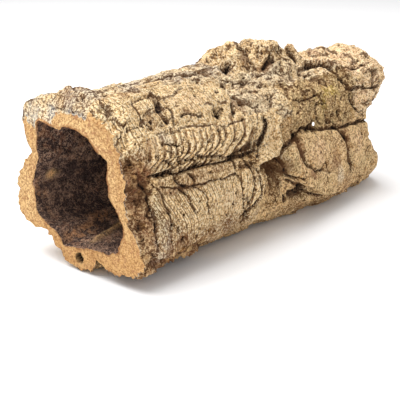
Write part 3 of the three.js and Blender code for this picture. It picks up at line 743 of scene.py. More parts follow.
# crumbs, pits and swells that lie all over the bark, more on the rough kinds, in mm
fineBark = {
    "warp": 0.7,  # how far every form of the fine bark is pulled aside
    "fineWarp": 0.3,
    "crumbs": (1.9, 1.6),
    "crumbStep": 0.12,
    "crumbGap": 0.2,
    "grit": 0.25,
    "swell": 0.15,
    "roughSwell": 0.35,
    "smallPits": 0.6,
    "crackShare": 0.8,  # of the depth that each narrow crack is given
}


def warped(at, start):
    broad, fine = unevenness(at, 5, 5, start), unevenness(at, 1.9, 1.9, start + 2)
    return fineBark["warp"] * broad + fineBark["fineWarp"] * fine


# marks a place to be darkened as a crack: partly the cracks' own dark colour, partly painted shade in sunk
# places
def markCrackAndShade(marks, share):
    marks["crack"] = np.maximum(marks["crack"], share)


def barkRelief(x, angle, radius):
    # height of the fine bark over the main shape, the marks that its finish reads, and how its grain runs
    at = (x, angle, radius)
    warp, warpRound = warped(at, 50.5), warped(at, 60.5) / mmPerDegree
    warpedX, warpedAngle = x + warp, angle + warpRound

    marks = {name: np.zeros(x.shape) for name in tints + ("crack", "level", "lines", "lined")}
    height, rough, most = np.zeros(x.shape), np.zeros(x.shape), np.zeros(x.shape)
    grain = np.zeros((x.size, 3))
    left = np.ones(x.shape)
    for kind in barkKinds.values():
        share = left * fieldShare(x + 2.5 * warp, angle + 2.5 * warpRound, kind)
        left = left - share
        here = np.flatnonzero(share > 0.002)
        if not here.size:
            continue
        wander = kind.get("wander", 1)
        kindAt = (x[here] + wander * warp[here], angle[here] + wander * warpRound[here], radius[here])
        kindHeight, kindCrack, kindLevel, number, place = barkPattern(kindAt, kind)
        share = share[here]
        height[here] += share * kindHeight
        marks["crack"][here] += share * kindCrack
        marks["level"][here] += share * kindLevel
        rough[here] += share * kind["rough"]
        for name in tints:
            marks[name][here] += share * kind.get(name, 0)
        mainly = share > most[here]
        main = here[mainly]
        marks["lines"][main] = number[mainly]
        marks["lined"][main] = kind["lines"][4] * smoothstep(share[mainly], 0.6, 0.98)
        if kind.get("lengthwise"):
            grain[main] = spread(kindAt, 4, 0.8, kind["start"])[mainly]
        else:
            grain[main] = spread((place, *kindAt[1:]), 0.8, 4, kind["start"])[mainly]
        most[here] = np.maximum(most[here], share)

    crumbGap, crumbLevel = plates(at, *fineBark["crumbs"], 70.5)[:2]
    crumbs = fineBark["crumbStep"] * crumbLevel - fineBark["crumbGap"] * np.exp(-(crumbGap / 0.28) ** 2)
    height += rough * (crumbs + fineBark["grit"] * unevenness(at, 1.5, 1.3, 72.5, 2))
    height += (fineBark["swell"] + fineBark["roughSwell"] * rough) * unevenness(at, 8, 8, 74.5, 2)
    # gaps between crumbs, small pits, narrow cracks, pits and grooves are all marked to be darkened by how
    # sunk they are, partly as their own dark colour and partly as painted shade
    markCrackAndShade(marks, 0.4 * rough * np.exp(-(crumbGap / 0.22) ** 2))
    smallPits = smoothstep(unevenness(at, 2.2, 2.0, 76.5), 0.46, 0.56)
    height -= fineBark["smallPits"] * smallPits
    markCrackAndShade(marks, 0.9 * smallPits)

    for width, depth, line in sum(fineCracks.values(), []):
        share = grooveShare(line, 0.75 * width, warpedX, warpedAngle)
        height -= fineBark["crackShare"] * depth * share
        markCrackAndShade(marks, np.minimum(1, 1.7 * share))
    for pitX, pitAngle, halfLong, halfWide, depth in pits.values():
        wide = turnFrom(warpedAngle, pitAngle) * mmPerDegree / halfWide
        share = 1 - smoothstep(np.hypot((warpedX - pitX) / halfLong, wide), 0.45, 1.2)
        height -= depth * share
        markCrackAndShade(marks, np.minimum(1, 1.7 * share) * min(1, depth / 1.6))
    for width, depth, line in grooves.values():
        markCrackAndShade(marks, min(1, depth / 2.4) * grooveShare(line, 0.4 * width, warpedX, warpedAngle))

    for name, places in patches.items():
        found = patchShare(x + 2 * warp, angle + 2 * warpRound, places)
        marks[name] = np.maximum(marks.get(name, 0), found)
    return height, marks, grain


# The bark itself

def readPlaces(mesh):
    places = np.empty(3 * len(mesh.vertices))
    mesh.vertices.foreach_get("co", places)
    return places.reshape(-1, 3) / mm


def setPlaces(mesh, places):
    mesh.vertices.foreach_set("co", (places * mm).ravel())
    mesh.update()


def edgePairs(mesh):
    pairs = np.empty(2 * len(mesh.edges), int)
    mesh.edges.foreach_get("vertices", pairs)
    return pairs.reshape(-1, 2)


def edgeEnds(mesh):
    return readPlaces(mesh)[edgePairs(mesh)]


def pipeRadius(places):
    return np.hypot(places[..., 1] - tube["side"], places[..., 2] - tube["height"])


def runsAlong(ends, least):
    # an edge that runs further than this along the tube
    return np.ptp(ends[:, :, 0], axis=1) > least


def liesAt(ends, x):
    return (np.abs(ends[:, :, 0] - x) < touching).all(axis=1)


def crossesWall(ends, x):
    # an edge of an end face that runs out from the hollow
    return liesAt(ends, x) & (np.abs(np.diff(pipeRadius(ends), axis=1))[:, 0] > 0.1)


def chooseEdges(mesh, chosen):
    points = np.zeros(len(mesh.vertices), bool)
    points[edgePairs(mesh)[chosen].ravel()] = True
    mesh.polygons.foreach_set("select", np.zeros(len(mesh.polygons), bool))
    mesh.edges.foreach_set("select", chosen)
    mesh.vertices.foreach_set("select", points)
    bpy.ops.object.mode_set(mode="EDIT")


def subdivideEdges(mesh, isChosen, where, cuts):
    chooseEdges(mesh, isChosen(edgeEnds(mesh), where))
    bpy.ops.mesh.subdivide(number_cuts=cuts)
    bpy.ops.object.mode_set(mode="OBJECT")


def addTube():
    deselectAll()
    bpy.ops.mesh.primitive_cylinder_add(
        vertices=tube["columns"], radius=tube["skinRadius"] * mm, depth=tube["length"] * mm,
        end_fill_type="NOTHING", location=(0, tube["side"] * mm, tube["height"] * mm),
        rotation=(0, math.pi / 2, 0))
    bark = bpy.context.object
    bark.name = "cork_bark"
    bark.data.name = "cork_bark"
    bpy.ops.object.transform_apply(location=True, rotation=True, scale=True)
    bpy.context.tool_settings.mesh_select_mode = (False, True, False)
    for cuts in tube["skinCuts"]:
        subdivideEdges(bark.data, runsAlong, touching, cuts)

    # from the sawn end in to the hollow, back along it, and out again to the broken end
    narrower = tube["boreRadius"] / tube["skinRadius"]
    nearMiddle = Vector((-halfLength, tube["side"], tube["height"])) * mm
    farMiddle = Vector((halfLength, tube["side"], tube["height"])) * mm
    chooseEdges(bark.data, liesAt(edgeEnds(bark.data), -halfLength))
    bpy.ops.mesh.extrude_region_move(TRANSFORM_OT_translate={"value": (0, 0, 0)})
    bpy.ops.transform.resize(value=(1, narrower, narrower), center_override=nearMiddle)
    bpy.ops.mesh.extrude_region_move(TRANSFORM_OT_translate={"value": (tube["length"] * mm, 0, 0)})
    bpy.ops.mesh.extrude_region_move(TRANSFORM_OT_translate={"value": (0, 0, 0)})
    bpy.ops.transform.resize(value=(1, 1 / narrower, 1 / narrower), center_override=farMiddle)
    bpy.ops.mesh.select_all(action="SELECT")
    bpy.ops.mesh.remove_doubles(threshold=touching * mm)
    bpy.ops.mesh.normals_make_consistent(inside=False)
    bpy.ops.object.mode_set(mode="OBJECT")

    # the skin's own edges are all shorter than 2 mm by now
    for cuts in tube["boreCuts"]:
        subdivideEdges(bark.data, runsAlong, 2, cuts)
    subdivideEdges(bark.data, crossesWall, -halfLength, tube["faceCuts"])
    subdivideEdges(bark.data, crossesWall, halfLength, tube["rimCuts"])
    return bark


def inTheRound(x, angle, radius):
    turned = np.radians(angle)
    y, z = tube["side"] + radius * np.cos(turned), tube["height"] + radius * np.sin(turned)
    return np.stack([x, y, z], -1)


def layOut(mesh):
    # where each point belongs: its x, its angle, and how far across the wall from the hollow to the skin
    places = readPlaces(mesh)
    evenly = np.degrees(np.arctan2(places[:, 2] - tube["height"], places[:, 1] - tube["side"])) % 360
    angle = evenly + tube["crowding"] * np.sin(np.radians(evenly))
    across = (pipeRadius(places) - tube["boreRadius"]) / (tube["skinRadius"] - tube["boreRadius"])
    across = np.clip(across, 0, 1)
    along = np.clip((places[:, 0] + halfLength) / tube["length"], 0, 1)
    onSkin, inBore = across > 0.999, across < 0.001
    onFace, onRim = along < 0.0001, along > 0.9999
    even = np.full(len(places), float(tube["skinRadius"]))

    # the broken end is ragged, and the skin stands back from the sawn one
    end = (even * 0, angle, even)
    edge = outlineRadius(farOutline, angle)
    edge = edge + tube["ragged"] * unevenness(end, 1, 4, 80.5, 2)
    edge = np.minimum(edge + tube["fineRagged"] * unevenness(end, 1, 1.3, 82.5), tube["furthest"])
    setback = outlineRadius(sawnSetback, angle)
    sawnEdge = -halfLength + np.where(onSkin, setback, 0)
    x = sawnEdge + (edge - sawnEdge) * np.where(inBore, along ** tube["boreCrowding"], along)
    return SimpleNamespace(
        x=x, angle=angle, across=across, even=even, edge=edge, setback=setback, sawnEdge=sawnEdge,
        onSkin=onSkin, inBore=inBore, onFace=onFace, onRim=onRim,
        marks={"across": across, "angle": angle})


def setMark(grid, name, where, values):
    grid.marks.setdefault(name, np.zeros(grid.x.size))[where] = values


def shapeWall(grid):
    # main shape of the skin, and the hollow inside it
    form = formRadius(grid.x, grid.angle)
    nearSaw = 1 - smoothstep(grid.x + halfLength, 1, 8)
    form += tube["sawnRoughness"] * nearSaw * unevenness((grid.x, grid.angle, grid.even), 4, 2.2, 89.5, 3)
    hollow = np.minimum(sectionRadius(boreSections, grid.x, grid.angle), form - tube["thinnestWall"])
    rimFall = tube["rimRound"] * (1 - smoothstep(grid.edge - grid.x, 0, 2.5))
    radius = np.where(grid.onSkin, form - rimFall, hollow)

    # the wall of the hollow is lumpy and crumbly, but only wavy at its mouth, and has a rib on its floor
    inBore = grid.inBore
    x, angle = grid.x[inBore], grid.angle[inBore]
    bore = (x, angle, radius[inBore])
    level = plates(bore, 11, 4, 94.5)[1]
    mouth = 1 - smoothstep(x + halfLength, 0, 8)
    rib = grooveShare(hollowWall["ribLine"], 1.3, x, angle)
    crumbs = hollowWall["creases"] * creases(bore, 6, 3, 92.5)
    crumbs += hollowWall["crumbs"] * unevenness(bore, 2.2, 1.8, 95.5, 2)
    swells = hollowWall["swells"] * unevenness(bore, 12, 12, 90.5, 2)
    radius[inBore] += swells + hollowWall["plates"] * level
    radius[inBore] += (1 - 0.7 * mouth) * crumbs
    radius[inBore] += mouth * hollowWall["waves"] * unevenness(bore, 5, 4.4, 97.5, 2)
    radius[inBore] += mouth * hollowWall["bay"] * np.exp(-(turnFrom(angle, 50) / 9) ** 2)
    radius[inBore] -= hollowWall["rib"] * rib
    grid.form, grid.radius = form, radius
    setMark(grid, "level", inBore, level)
    setMark(grid, "pale", inBore, np.maximum(0.9 * rib, patchShare(x, angle, hollowPatches["pale"])))
    setMark(grid, "rust", inBore, patchShare(x, angle, hollowPatches["rust"]))


def raiseBark(mesh, grid):
    # fine bark, raised partly along the skin's own slope
    setPlaces(mesh, inTheRound(grid.x, grid.angle, grid.radius))
    onSkin = grid.onSkin
    normals = np.empty(3 * grid.x.size)
    mesh.vertices.foreach_get("normal", normals)
    normals = normals.reshape(-1, 3)[onSkin]
    turned = np.radians(grid.angle[onSkin])
    outwards = np.stack([turned * 0, np.cos(turned), np.sin(turned)], -1)
    height, marks, grain = barkRelief(grid.x[onSkin], grid.angle[onSkin], grid.radius[onSkin])

    # lower at the sawn edge, where it is chipped too, and raised straight out at both ends
    sawnGap, brokenGap = (grid.x - grid.sawnEdge)[onSkin], (grid.edge - grid.x)[onSkin]
    height = height * (0.5 + 0.5 * smoothstep(sawnGap, 0, 3))
    sawn = (sawnGap * 0, grid.angle[onSkin], grid.even[onSkin])
    chipped = smoothstep(unevenness(sawn, 1, 2.4, 84.5, 2), -0.1, 0.5)
    height -= (0.2 + 0.4 * chipped) * (1 - smoothstep(sawnGap, 0, 0.9 + 1.0 * chipped))
    raised = 0.4 * outwards + 0.6 * normals
    raised[:, 0] *= smoothstep(sawnGap, 0.2, 3) * smoothstep(brokenGap, 0.2, 3)
    raised /= np.linalg.norm(raised, axis=1)[:, None]
    grid.placed = inTheRound(grid.x, grid.angle, grid.radius)
    grid.placed[onSkin] += raised * height[:, None]

    grid.grain = spread((grid.x, grid.angle, grid.even), 0.8, 0.8, 0)
    grid.grain[onSkin] = grain
    for name, values in marks.items():
        setMark(grid, name, onSkin, values)
    # how far each point stands above or below its surroundings, which the bark finish turns into painted
    # light on raised places and painted shade in low ones
    raisedBy = np.zeros(grid.x.size)
    raisedBy[onSkin] = height
    setMark(grid, "relief", slice(None), raisedBy - blur(raisedBy, edgePairs(mesh), 6))


def blur(values, pairs, rounds):
    near = np.bincount(pairs.ravel(), minlength=values.size)
    for _ in range(rounds):
        total = np.bincount(pairs[:, 0], values[pairs[:, 1]], values.size)
        values = (total + np.bincount(pairs[:, 1], values[pairs[:, 0]], values.size)) / near
    return values


def keepWall(grid):
    # no crack comes through the wall
    onSkin = grid.onSkin
    x, y, z = grid.placed[onSkin].T
    radius = np.hypot(y - tube["side"], z - tube["height"])
    least = sectionRadius(boreSections, x, grid.angle[onSkin])
    least = np.minimum(least, grid.form[onSkin] - tube["thinnestWall"]) + tube["wallUnderCracks"]
    widened = np.maximum(radius, least) / radius
    grid.placed[onSkin, 1] = tube["side"] + (y - tube["side"]) * widened
    grid.placed[onSkin, 2] = tube["height"] + (z - tube["height"]) * widened
    grid.radius[onSkin] = radius * widened


def sortedBy(order, values):
    turn = np.argsort(order)
    return order[turn], values[turn]


def acrossEnd(grid, onEnd):
    # the points of an end face between its two edges, and their radius
    between = onEnd & ~grid.onSkin & ~grid.inBore
    edges = []
    for edge in (onEnd & grid.onSkin, onEnd & grid.inBore):
        angle, radius = sortedBy(grid.angle[edge], grid.radius[edge])
        edges.append(np.interp(grid.angle[between], angle, radius, period=360))
    outer, inner = edges
    return between, inner + (outer - inner) * grid.across[between]


def closeSawnEnd(grid):
    # nearly flat, crumbly where the bark comes over it, and with a blind hole
    between, radius = acrossEnd(grid, grid.onFace)
    angle, across = grid.angle[between], grid.across[between]
    cut = (tube["wall"] * across, angle, grid.even[between])
    x = grid.x[between] + grid.setback[between] * across + 0.1 + 0.2 * unevenness(cut, 1.5, 2.2, 98.5)
    barky = 1 - smoothstep(np.abs(angle - 45), 10, 16)
    x = x + barky * np.sin(np.pi * across) * (0.5 + 1.6 * creases(cut, 2.6, 2.4, 99.5))
    around = inTheRound(x, angle, radius)
    away = np.hypot(around[:, 1] - blindHole["y"], around[:, 2] - blindHole["z"]) / blindHole["radius"]
    x = x + blindHole["depth"] * (1 - smoothstep(away, 0.6, 1.15))
    grid.placed[between] = inTheRound(x, angle, radius)
    setMark(grid, "grey", grid.onFace, 1.0)
    setMark(grid, "pale", grid.onFace, 0.5)
    # painted shade: the blind hole is marked to be painted black
    setMark(grid, "hole", between, 1 - smoothstep(away, 1, 1.35))


def closeBrokenEnd(grid):
    # sunk a little between its two edges, and rough
    between, radius = acrossEnd(grid, grid.onRim)
    rim = (tube["wall"] * grid.across[between], grid.angle[between], grid.even[between])
    x = grid.x[between] - 1.1 + 1.6 * creases(rim, 2.4, 2.6, 96.5)
    grid.placed[between] = inTheRound(x, grid.angle[between], radius)


def saveMarks(mesh, grid):
    for name, values in grid.marks.items():
        mesh.attributes.new(name, "FLOAT", "POINT").data.foreach_set("value", values.astype(np.float32))
    ring = spread((tube["wall"] * grid.across, grid.angle, grid.even + 3), 1, 1, 0)
    for name, values in (("grain", grid.grain), ("ring", ring)):
        layer = mesh.attributes.new(name, "FLOAT_VECTOR", "POINT")
        layer.data.foreach_set("vector", values.astype(np.float32).ravel())


def chooseFinishes(mesh, grid):
    # at the top the bark comes over the sawn edge, and beside that the cut runs out over a bevel
    ragged = grid.angle + 9 * unevenness((grid.x, grid.angle, grid.even + 4 * grid.across), 4, 4, 86.5, 3)
    barkOver = grid.onFace & (grid.across > np.interp(ragged, *zip(*barkEdge)))
    reach = 1.7 * (1 - smoothstep(np.abs(ragged - 116), 10, 26))
    reach = reach + 0.6 * unevenness((grid.x, grid.angle, grid.even), 3, 3, 88.5, 2)
    cutOver = grid.onSkin & (grid.x < grid.sawnEdge + reach) & ~((ragged > 20) & (ragged < 58))

    # bark is finish 0, sawn cork 1 and the hollow 2; a face is one of the last two if all its points are
    corners = np.empty(len(mesh.loops), int)
    mesh.loops.foreach_get("vertex_index", corners)
    starts = np.empty(len(mesh.polygons), int)
    mesh.polygons.foreach_get("loop_start", starts)
    finish = np.zeros(len(mesh.polygons), np.int32)
    for slot, points in ((1, grid.onFace & ~barkOver | cutOver), (2, grid.inBore)):
        finish[np.minimum.reduceat(points[corners].astype(int), starts) == 1] = slot
    mesh.polygons.foreach_set("material_index", finish)
    mesh.update()


def sculptTube(bark):
    mesh = bark.data
    grid = layOut(mesh)
    shapeWall(grid)
    raiseBark(mesh, grid)
    keepWall(grid)
    closeSawnEnd(grid)
    closeBrokenEnd(grid)
    setPlaces(mesh, np.clip(grid.placed, np.array(cadLow) / mm, np.array(cadHigh) / mm))
    saveMarks(mesh, grid)
    chooseFinishes(mesh, grid)


# A small hole through the front wall, in line with the open far end
pinhole = {
    "x": 18,
    "angle": 162,
    "radius": 0.72,
    "narrow": 0.62,  # its width, as a share of its height
    "reach": 19,
    "sides": 10,
    "direction": (0.814, 0.534, -0.231),
}


def drillPinhole(bark):
    deselectAll()
    x, angle = np.array([pinhole["x"]]), np.array([pinhole["angle"]])
    place = inTheRound(x, angle, formRadius(x, angle))[0]
    direction = Vector(pinhole["direction"]).normalized()
    bpy.ops.mesh.primitive_cylinder_add(
        vertices=pinhole["sides"], radius=pinhole["radius"] * mm, depth=2 * pinhole["reach"] * mm,
        location=Vector(place) * mm, rotation=direction.to_track_quat("Z", "Y").to_euler(),
        scale=(pinhole["narrow"], 1, 1))
    drill = bpy.context.object
    deselectAll()
    bark.select_set(True)
    bpy.context.view_layer.objects.active = bark
    cut = bark.modifiers.new("pinhole", "BOOLEAN")
    cut.operation = "DIFFERENCE"
    cut.solver = "MANIFOLD"
    cut.object = drill
    bpy.ops.object.modifier_apply(modifier=cut.name)
    bpy.data.objects.remove(drill, do_unlink=True)


# Finishes

def feed(tree, value, socket):
    if isinstance(value, (int, float, tuple)):
        socket.default_value = value
    else:
        tree.links.new(value, socket)


def addNode(tree, kind, inputs, **settings):
    node = tree.nodes.new("ShaderNode" + kind)
    for name, value in settings.items():
        setattr(node, name, value)
    for name, value in inputs.items():
        feed(tree, value, node.inputs[name])
    return node.outputs


def noiseNode(tree, place, scale, detail, rough=0.6, distortion=0.0):
    inputs = {"Scale": scale, "Detail": detail, "Roughness": rough, "Distortion": distortion}
    return addNode(tree, "TexNoise", {"Vector": place, **inputs})["Fac"]


def cellsNode(tree, place, scale, output):
    return addNode(tree, "TexVoronoi", {"Vector": place, "Scale": scale})[output]


def rangeNode(tree, value, low, high, toLow=0.0, toHigh=1.0):
    inputs = {"Value": value, "From Min": low, "From Max": high, "To Min": toLow, "To Max": toHigh}
    return addNode(tree, "MapRange", inputs, interpolation_type="SMOOTHSTEP")["Result"]


def mathNode(tree, operation, first, second=0.0):
    return addNode(tree, "Math", {0: first, 1: second}, operation=operation)[0]


def mixNode(tree, share, first, second):
    return addNode(tree, "Mix", {0: share, 6: first, 7: second}, data_type="RGBA")[2]


def markNode(tree, name, output="Fac"):
    return addNode(tree, "Attribute", {}, attribute_name=name)[output]


def stretchNode(tree, place, scale):
    return addNode(tree, "Mapping", {"Vector": place, "Scale": scale})["Vector"]


def times(tree, first, *others):
    for value in others:
        first = mathNode(tree, "MULTIPLY", first, value)
    return first


def addUp(tree, *shares):
    total = None
    for value, weight in shares:
        part = times(tree, value, weight)
        total = part if total is None else mathNode(tree, "ADD", total, part)
    return total


def markedShare(tree, mark, pattern, low, high):
    # a marked place, as far as a pattern lets it show
    return times(tree, markNode(tree, mark), rangeNode(tree, pattern, low, high))


def layOver(tree, look, colour, *tints):
    # each tint lies over the ones before it
    for name, share in tints:
        colour = mixNode(tree, share, colour, look[name])
    return colour


def startGroup(name, inputs):
    group = bpy.data.node_groups.new(name, "ShaderNodeTree")
    for socket, value in inputs.items():
        kind = "NodeSocketVector" if isinstance(value, tuple) else "NodeSocketFloat"
        made = group.interface.new_socket(name=socket, in_out="INPUT", socket_type=kind)
        made.default_value = value
    return group, group.nodes.new("NodeGroupInput").outputs


def finishGroup(group, outputs):
    for socket in outputs:
        group.interface.new_socket(name=socket, in_out="OUTPUT", socket_type="NodeSocketFloat")
    wanted = group.nodes.new("NodeGroupOutput").inputs
    for socket, value in outputs.items():
        group.links.new(value, wanted[socket])
    return group


# scale of each pattern in the cork's grain, as repeats in a metre
grainScales = {"crumbs": 2300, "grit": 1000, "cells": 1700, "pores": 600, "lumps": 300}


def corkGrainGroup():
    # pale grains, dark specks and pores, and a crumbly height
    tree, given = startGroup("cork grain", {"Place": (0, 0, 0), "Speckle": 0.5})
    place = given["Place"]
    fine = addUp(tree, (noiseNode(tree, place, grainScales["crumbs"], 1), 0.7),
                 (noiseNode(tree, place, grainScales["grit"], 2, 0.7), 0.3))
    coarse = noiseNode(tree, place, grainScales["lumps"], 3, 0.6, 0.5)
    cell = cellsNode(tree, place, grainScales["cells"], "Color")
    cell = addNode(tree, "SeparateColor", {"Color": cell})["Red"]
    mottle = addUp(tree, (fine, 0.86), (coarse, 0.14), (cell, 0.2))
    pores = rangeNode(tree, cellsNode(tree, place, grainScales["pores"], "Distance"), 0.36, 0.18)
    pores = times(tree, pores, rangeNode(tree, coarse, 0.42, 0.56))
    dark = mathNode(tree, "MAXIMUM", pores, rangeNode(tree, mottle, 0.565, 0.49))
    dark = times(tree, dark, given["Speckle"])
    return finishGroup(tree, {
        "Light": rangeNode(tree, mottle, 0.605, 0.67),
        "Dark": dark,
        "Height": addUp(tree, (fine, 1.4), (coarse, 0.6), (dark, -0.5)),
    })


def growthLinesGroup():
    # thin dark slits between the growth lines, which are numbered over the bark, tones for them, and streaks
    tree, given = startGroup(
        "growth lines", {"Place": (0, 0, 0), "Grain": (0, 0, 0), "Number": 0.0, "Strength": 1.0})
    wobble = mathNode(tree, "SUBTRACT", noiseNode(tree, given["Place"], 520, 3), 0.5)
    number = mathNode(tree, "ADD", given["Number"], times(tree, wobble, 0.18))
    opened = rangeNode(tree, noiseNode(tree, given["Grain"], 0.6, 2), 0.30, 0.48)
    slits = []
    halves = times(tree, number, 2.0)
    for count, low, high, depth in ((number, 0.36, 0.46, 1.0), (halves, 0.31, 0.47, 0.6)):
        fromMiddle = mathNode(tree, "SUBTRACT", mathNode(tree, "FRACT", count), 0.5)
        slits.append(rangeNode(tree, mathNode(tree, "ABSOLUTE", fromMiddle), low, high, 0, depth))
    whole = mathNode(tree, "FLOOR", number)
    lineTone = addNode(tree, "TexWhiteNoise", {"W": whole}, noise_dimensions="1D")
    return finishGroup(tree, {
        "Slit": times(tree, mathNode(tree, "MAXIMUM", *slits), opened, given["Strength"]),
        "Tone": times(tree, lineTone["Value"], given["Strength"]),
        "Streak": noiseNode(tree, given["Grain"], 1.6, 4, 0.65, 0.2),
    })


def startMaterial(name, look, grain):
    material = bpy.data.materials.new(name)
    material.use_nodes = True
    tree = material.node_tree
    shader = tree.nodes["Principled BSDF"].inputs
    shader["Roughness"].default_value = look["roughness"]
    shader["Specular IOR Level"].default_value = 0.2
    place = addNode(tree, "TexCoord", {})["Object"]
    grains = addNode(tree, "Group", {"Place": place, "Speckle": look["speckle"]}, node_tree=grain)
    return material, tree, place, grains


def finishMaterial(material, look, colour, height):
    tree = material.node_tree
    shader = tree.nodes["Principled BSDF"].inputs
    inputs = {"Height": height, "Strength": 1.0, "Distance": look["bump"] * mm}
    tree.links.new(colour, shader["Base Color"])
    tree.links.new(addNode(tree, "Bump", inputs)["Normal"], shader["Normal"])
    return material


barkFinish = {
    "tan": (0.54, 0.285, 0.097, 1),
    "cream": (0.96, 0.655, 0.32, 1),
    "white": (1.0, 0.84, 0.57, 1),
    "buff": (0.95, 0.69, 0.37, 1),
    "brown": (0.28, 0.13, 0.045, 1),
    "grey": (0.43, 0.41, 0.385, 1),
    "olive": (0.31, 0.235, 0.095, 1),
    "moss": (0.62, 0.43, 0.10, 1),
    "rust": (0.20, 0.06, 0.022, 1),
    "ochre": (0.62, 0.33, 0.10, 1),
    "pink": (0.84, 0.51, 0.31, 1),
    "umber": (0.11, 0.046, 0.018, 1),
    "slit": (0.15, 0.055, 0.02, 1),
    "black": (0.022, 0.012, 0.008, 1),
    "speckle": 0.8,
    "lightGrains": 0.74,
    "darkGrains": 0.84,
    "redStains": 0.5,
    "yellowStains": 0.55,
    "streaks": 0.5,
    "slits": 0.92,
    # umber painted over cracks, pits and low places: partly their own dark colour, partly painted shade
    "cracks": 0.88,
    # umber over the dark patches: partly dark lumps of the bark, partly painted shadow
    "darkPatchesAndShadows": 0.75,
    "roughness": 0.93,
    "bump": 0.4,  # mm
}


def barkMaterial(grain, growthLines):
    look = barkFinish
    material, tree, place, grains = startMaterial("cork bark", look, grain)
    lines = addNode(tree, "Group", {
        "Place": place,
        "Grain": markNode(tree, "grain", "Vector"),
        "Number": markNode(tree, "lines"),
        "Strength": markNode(tree, "lined"),
    }, node_tree=growthLines)
    light = times(tree, grains["Light"], rangeNode(tree, markNode(tree, "rust"), 0.1, 0.8, 1, 0.3))
    dark = grains["Dark"]
    streak = mathNode(tree, "SUBTRACT", lines["Streak"], 0.5)
    streak = times(tree, streak, rangeNode(tree, markNode(tree, "lined"), 0, 1, 0.3, 1))
    streak = mathNode(tree, "ADD", streak, 0.5)
    broad = noiseNode(tree, place, 110, 4, 0.6, 0.3)
    cloud = noiseNode(tree, place, 260, 3, 0.6, 0.8)
    stain = noiseNode(tree, place, 210, 3, 0.6, 1.2)

    # cream where the bark is worn and pale, and a little creamier on its raised places as painted light; tan
    # where it isn't, and stained here and there
    # painted light: paler where the bark stands above its surroundings
    high = rangeNode(tree, markNode(tree, "relief"), -0.3, 0.35)
    creamShare = addUp(
        tree, (markNode(tree, "pale"), 0.6), (high, 0.15), (markNode(tree, "level"), 0.12),
        (rangeNode(tree, cloud, 0.3, 0.7), 0.35), (rangeNode(tree, streak, 0.34, 0.66), 0.42),
        (lines["Tone"], 0.12))
    colour = mixNode(tree, rangeNode(tree, creamShare, 0.05, 1.12), look["tan"], look["cream"])
    red = times(tree, rangeNode(tree, stain, 0.56, 0.66), rangeNode(tree, streak, 0.56, 0.42))
    yellow = times(tree, rangeNode(tree, stain, 0.46, 0.36), rangeNode(tree, broad, 0.42, 0.56))
    colour = layOver(
        tree, look, colour,
        ("brown", markedShare(tree, "brown", broad, 0.35, 0.65)),
        ("pink", markedShare(tree, "pink", cloud, 0.3, 0.6)),
        ("olive", markedShare(tree, "olive", cloud, 0.25, 0.6)),
        ("grey", markedShare(tree, "grey", broad, 0.32, 0.6)),
        ("rust", markedShare(tree, "rust", cloud, 0.36, 0.54)),
        ("rust", times(tree, red, look["redStains"])),
        ("ochre", times(tree, yellow, look["yellowStains"])),
        ("moss", markedShare(tree, "moss", cloud, 0.42, 0.56)))

    # grains lighter and darker than the rest, then streaks and slits; then umber over cracks, pits, dark
    # patches and low places, partly their own dark colour and partly painted shade, and painted black shade
    # deep in the low cracks
    bleached = mathNode(tree, "ADD", markNode(tree, "pale"), markNode(tree, "grey"))
    grainColour = mixNode(tree, rangeNode(tree, bleached, 0.2, 0.8), look["buff"], look["white"])
    colour = mixNode(tree, times(tree, light, look["lightGrains"]), colour, grainColour)
    # painted shade in the low places
    low = rangeNode(tree, markNode(tree, "relief"), -0.1, -0.6)
    crack = addUp(tree, (markNode(tree, "crack"), 1.0), (light, -0.21), (dark, 0.14))
    shade = mathNode(tree, "MAXIMUM", rangeNode(tree, crack, 0.35, 0.85), times(tree, low, 0.14))
    colour = layOver(
        tree, look, colour,
        ("umber", times(tree, dark, look["darkGrains"])),
        ("brown", times(tree, rangeNode(tree, streak, 0.42, 0.30), look["streaks"])),
        ("slit", times(tree, lines["Slit"], look["slits"])),
        ("umber", times(tree, shade, look["cracks"])),
        ("umber", times(tree, markNode(tree, "dark"), look["darkPatchesAndShadows"])),
        # painted black shade at the bottom of deep cracks in low places
        ("black", times(tree, rangeNode(tree, crack, 0.7, 1.0), low)))
    height = addUp(tree, (grains["Height"], 1.2), (streak, 0.5), (lines["Slit"], -1.3))
    return finishMaterial(material, look, colour, height)


cutFinish = {
    "tan": (0.58, 0.33, 0.135, 1),
    "cream": (0.87, 0.60, 0.285, 1),
    "orange": (0.55, 0.27, 0.08, 1),
    "brown": (0.28, 0.115, 0.04, 1),
    "dots": (0.42, 0.19, 0.09, 1),
    "black": (0.012, 0.008, 0.006, 1),
    "speckle": 0.75,
    "orangeOutwards": 0.22,
    "orangePatches": 0.4,
    "orangeBelow": 0.45,
    "brownRim": 0.35,
    "darkGrains": 0.9,
    "dotShare": 0.6,
    "threads": 0.75,
    "roughness": 0.88,
    "bump": 0.2,  # mm
}


